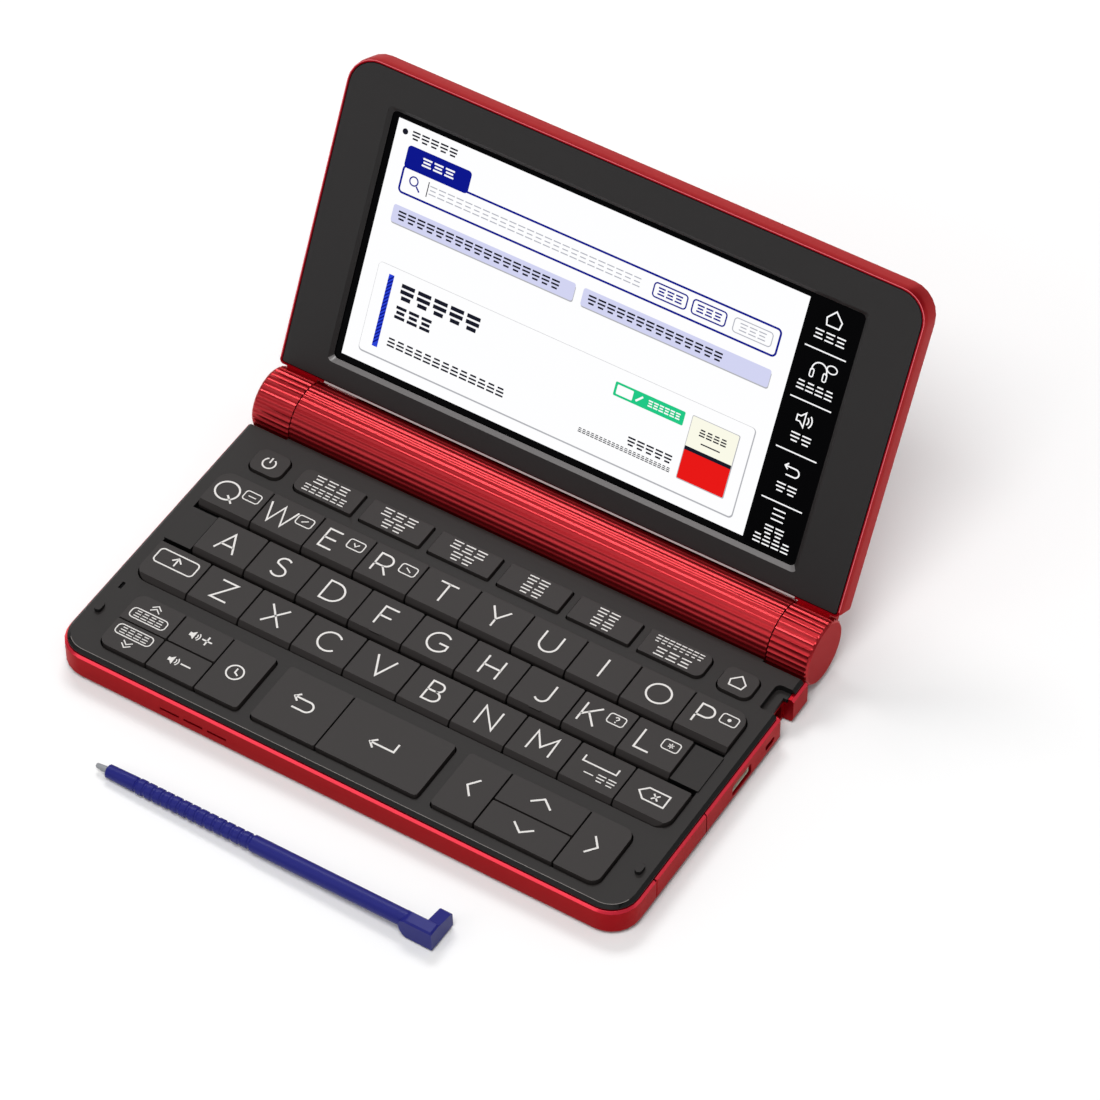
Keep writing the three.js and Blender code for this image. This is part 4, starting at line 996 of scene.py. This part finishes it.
rim = Marks(on_lid(BEZEL_PLANE))
over_the_top = rim_corner(-1, 180, 90) + rim_corner(1, 90, 0)
rim.line([(-RIM_SIDE, RIM_FOOT)] + over_the_top + [(RIM_SIDE, RIM_FOOT)], RIM_STROKE)
rim.done("lid_rim_highlight", RED_SHINE, "lid", "red_shell")

# Painted highlight along the front edge of the deck's top
EDGE_INSET = 0.85
EDGE_RADIUS = 6.4
EDGE_STROKE = 0.14
EDGE_HEIGHT = 0.02
EDGE_TURN_X = deck_high.x - EDGE_INSET - EDGE_RADIUS
EDGE_TURN_Y = deck_low.y - FRONT_Y + EDGE_INSET + EDGE_RADIUS
edge = Marks(on_deck(DECK_TOP), height=EDGE_HEIGHT)
edge_points = arc(-EDGE_TURN_X, EDGE_TURN_Y, EDGE_RADIUS, EDGE_RADIUS, 225, 270, 8)
edge_points += arc(EDGE_TURN_X, EDGE_TURN_Y, EDGE_RADIUS, EDGE_RADIUS, 270, 340, 10)
edge.line(edge_points, EDGE_STROKE)
edge.done("deck_edge_highlight", DECK_HIGHLIGHT, "base", "deck_black")


# Floor, light and camera, in metres
FLOOR_HALF = 6
FLOOR_DROP = 0.0002
FLOOR_TONE = 0.86
FLOOR_ROUGH = 0.9
# The floor glows more with its distance from the object: far out it makes up for the lamps' falloff, and near
# the object it stays low, a painted shade that keeps the floor round it darker
GLOW_REACH = (0.1, 1.4)
GLOW_SHARE = (0.02, 0.72)
LAMP_AIM = Vector((0, 0, 0.02))
WORLD_STRENGTH = 0.3


def make_floor():
    """Pale floor that glows for the camera and for mirrors, so that it reads white and keeps its shadow."""
    bm = bmesh.new()
    bmesh.ops.create_grid(bm, x_segments=1, y_segments=1, size=FLOOR_HALF)
    mesh = bpy.data.meshes.new("floor")
    bm.to_mesh(mesh)
    bm.free()
    o = bpy.data.objects.new("floor", mesh)
    o.location.z = -FLOOR_DROP
    bpy.context.scene.collection.objects.link(o)
    material, tree, shader = new_material("floor_white")
    shader.inputs["Base Color"].default_value = (FLOOR_TONE, FLOOR_TONE, FLOOR_TONE, 1)
    shader.inputs["Roughness"].default_value = FLOOR_ROUGH
    shader.inputs["Specular IOR Level"].default_value = 0.0
    path = tree.nodes.new("ShaderNodeLightPath")
    seen = path.outputs["Is Camera Ray"]
    for ray in ("Is Glossy Ray", "Is Transmission Ray"):
        either = tree.nodes.new("ShaderNodeMath")
        either.operation = "MAXIMUM"
        tree.links.new(seen, either.inputs[0])
        tree.links.new(path.outputs[ray], either.inputs[1])
        seen = either.outputs["Value"]
    coord = tree.nodes.new("ShaderNodeTexCoord")
    away = tree.nodes.new("ShaderNodeVectorMath")
    away.operation = "LENGTH"
    tree.links.new(coord.outputs["Object"], away.inputs[0])
    ramp = tree.nodes.new("ShaderNodeMapRange")
    for socket, value in zip(("From Min", "From Max", "To Min", "To Max"), GLOW_REACH + GLOW_SHARE):
        ramp.inputs[socket].default_value = value
    tree.links.new(away.outputs["Value"], ramp.inputs["Value"])
    glow = tree.nodes.new("ShaderNodeMath")
    glow.operation = "MULTIPLY"
    tree.links.new(seen, glow.inputs[0])
    tree.links.new(ramp.outputs["Result"], glow.inputs[1])
    shader.inputs["Emission Color"].default_value = (1, 1, 1, 1)
    tree.links.new(glow.outputs["Value"], shader.inputs["Emission Strength"])
    mesh.materials.append(material)


def area_light(name, direction, distance, size, power, size_y=None):
    """Softbox in a direction from the object, facing it: distance and size in m, power in W."""
    data = bpy.data.lights.new(name, "AREA")
    data.energy = power
    data.shape = "RECTANGLE"
    data.size = size
    data.size_y = size_y or size
    o = bpy.data.objects.new(name, data)
    o.location = LAMP_AIM + Vector(direction).normalized() * distance
    o.rotation_mode = "QUATERNION"
    o.rotation_quaternion = (LAMP_AIM - o.location).to_track_quat("-Z", "Y")
    bpy.context.scene.collection.objects.link(o)


make_floor()
area_light("light_key", (0.12, -0.38, 0.92), 1.2, 0.5, 8.4)
area_light("light_front", (-0.35, -0.74, 0.55), 1.2, 0.6, 1.4)
area_light("light_top", (-0.34, 0.4, 0.85), 1.1, 0.5, 4.5, size_y=0.24)
area_light("light_side", (0.8, 0.35, 0.45), 1.2, 0.5, 0.4)
area_light("light_back", (-0.4, 0.9, 0.2), 1.3, 1.0, 1.6, size_y=0.4)

world = bpy.data.worlds.new("world")
bpy.context.scene.world = world
world.use_nodes = True
background = world.node_tree.nodes["Background"]
background.inputs["Color"].default_value = (1, 1, 1, 1)
background.inputs["Strength"].default_value = WORLD_STRENGTH

# Camera fitted to the photograph: its place in mm and the rows of its turn
CAM_POS = Vector((467.52, -649.75 + FRONT_Y, 996.09)) * MM
CAM_RIGHT = Vector((0.84946, 0.52765, -0.00246))
CAM_DOWN = Vector((0.39436, -0.63796, -0.66143))
CAM_FORWARD = Vector((-0.35057, 0.56088, -0.75001))
FOCAL_PX = 5364.5
FRAME_PX = 1100
SENSOR_MM = 36
cam_data = bpy.data.cameras.new("camera")
cam_data.sensor_width = SENSOR_MM
cam_data.lens = SENSOR_MM * FOCAL_PX / FRAME_PX
cam_data.clip_start = 0.05
cam_data.clip_end = 50
cam = bpy.data.objects.new("camera", cam_data)
turn = Matrix((CAM_RIGHT, -CAM_DOWN, -CAM_FORWARD)).transposed()
cam.matrix_world = Matrix.Translation(CAM_POS) @ turn.to_4x4()
bpy.context.scene.collection.objects.link(cam)
bpy.context.scene.camera = cam
bpy.context.scene.view_settings.view_transform = "Standard"
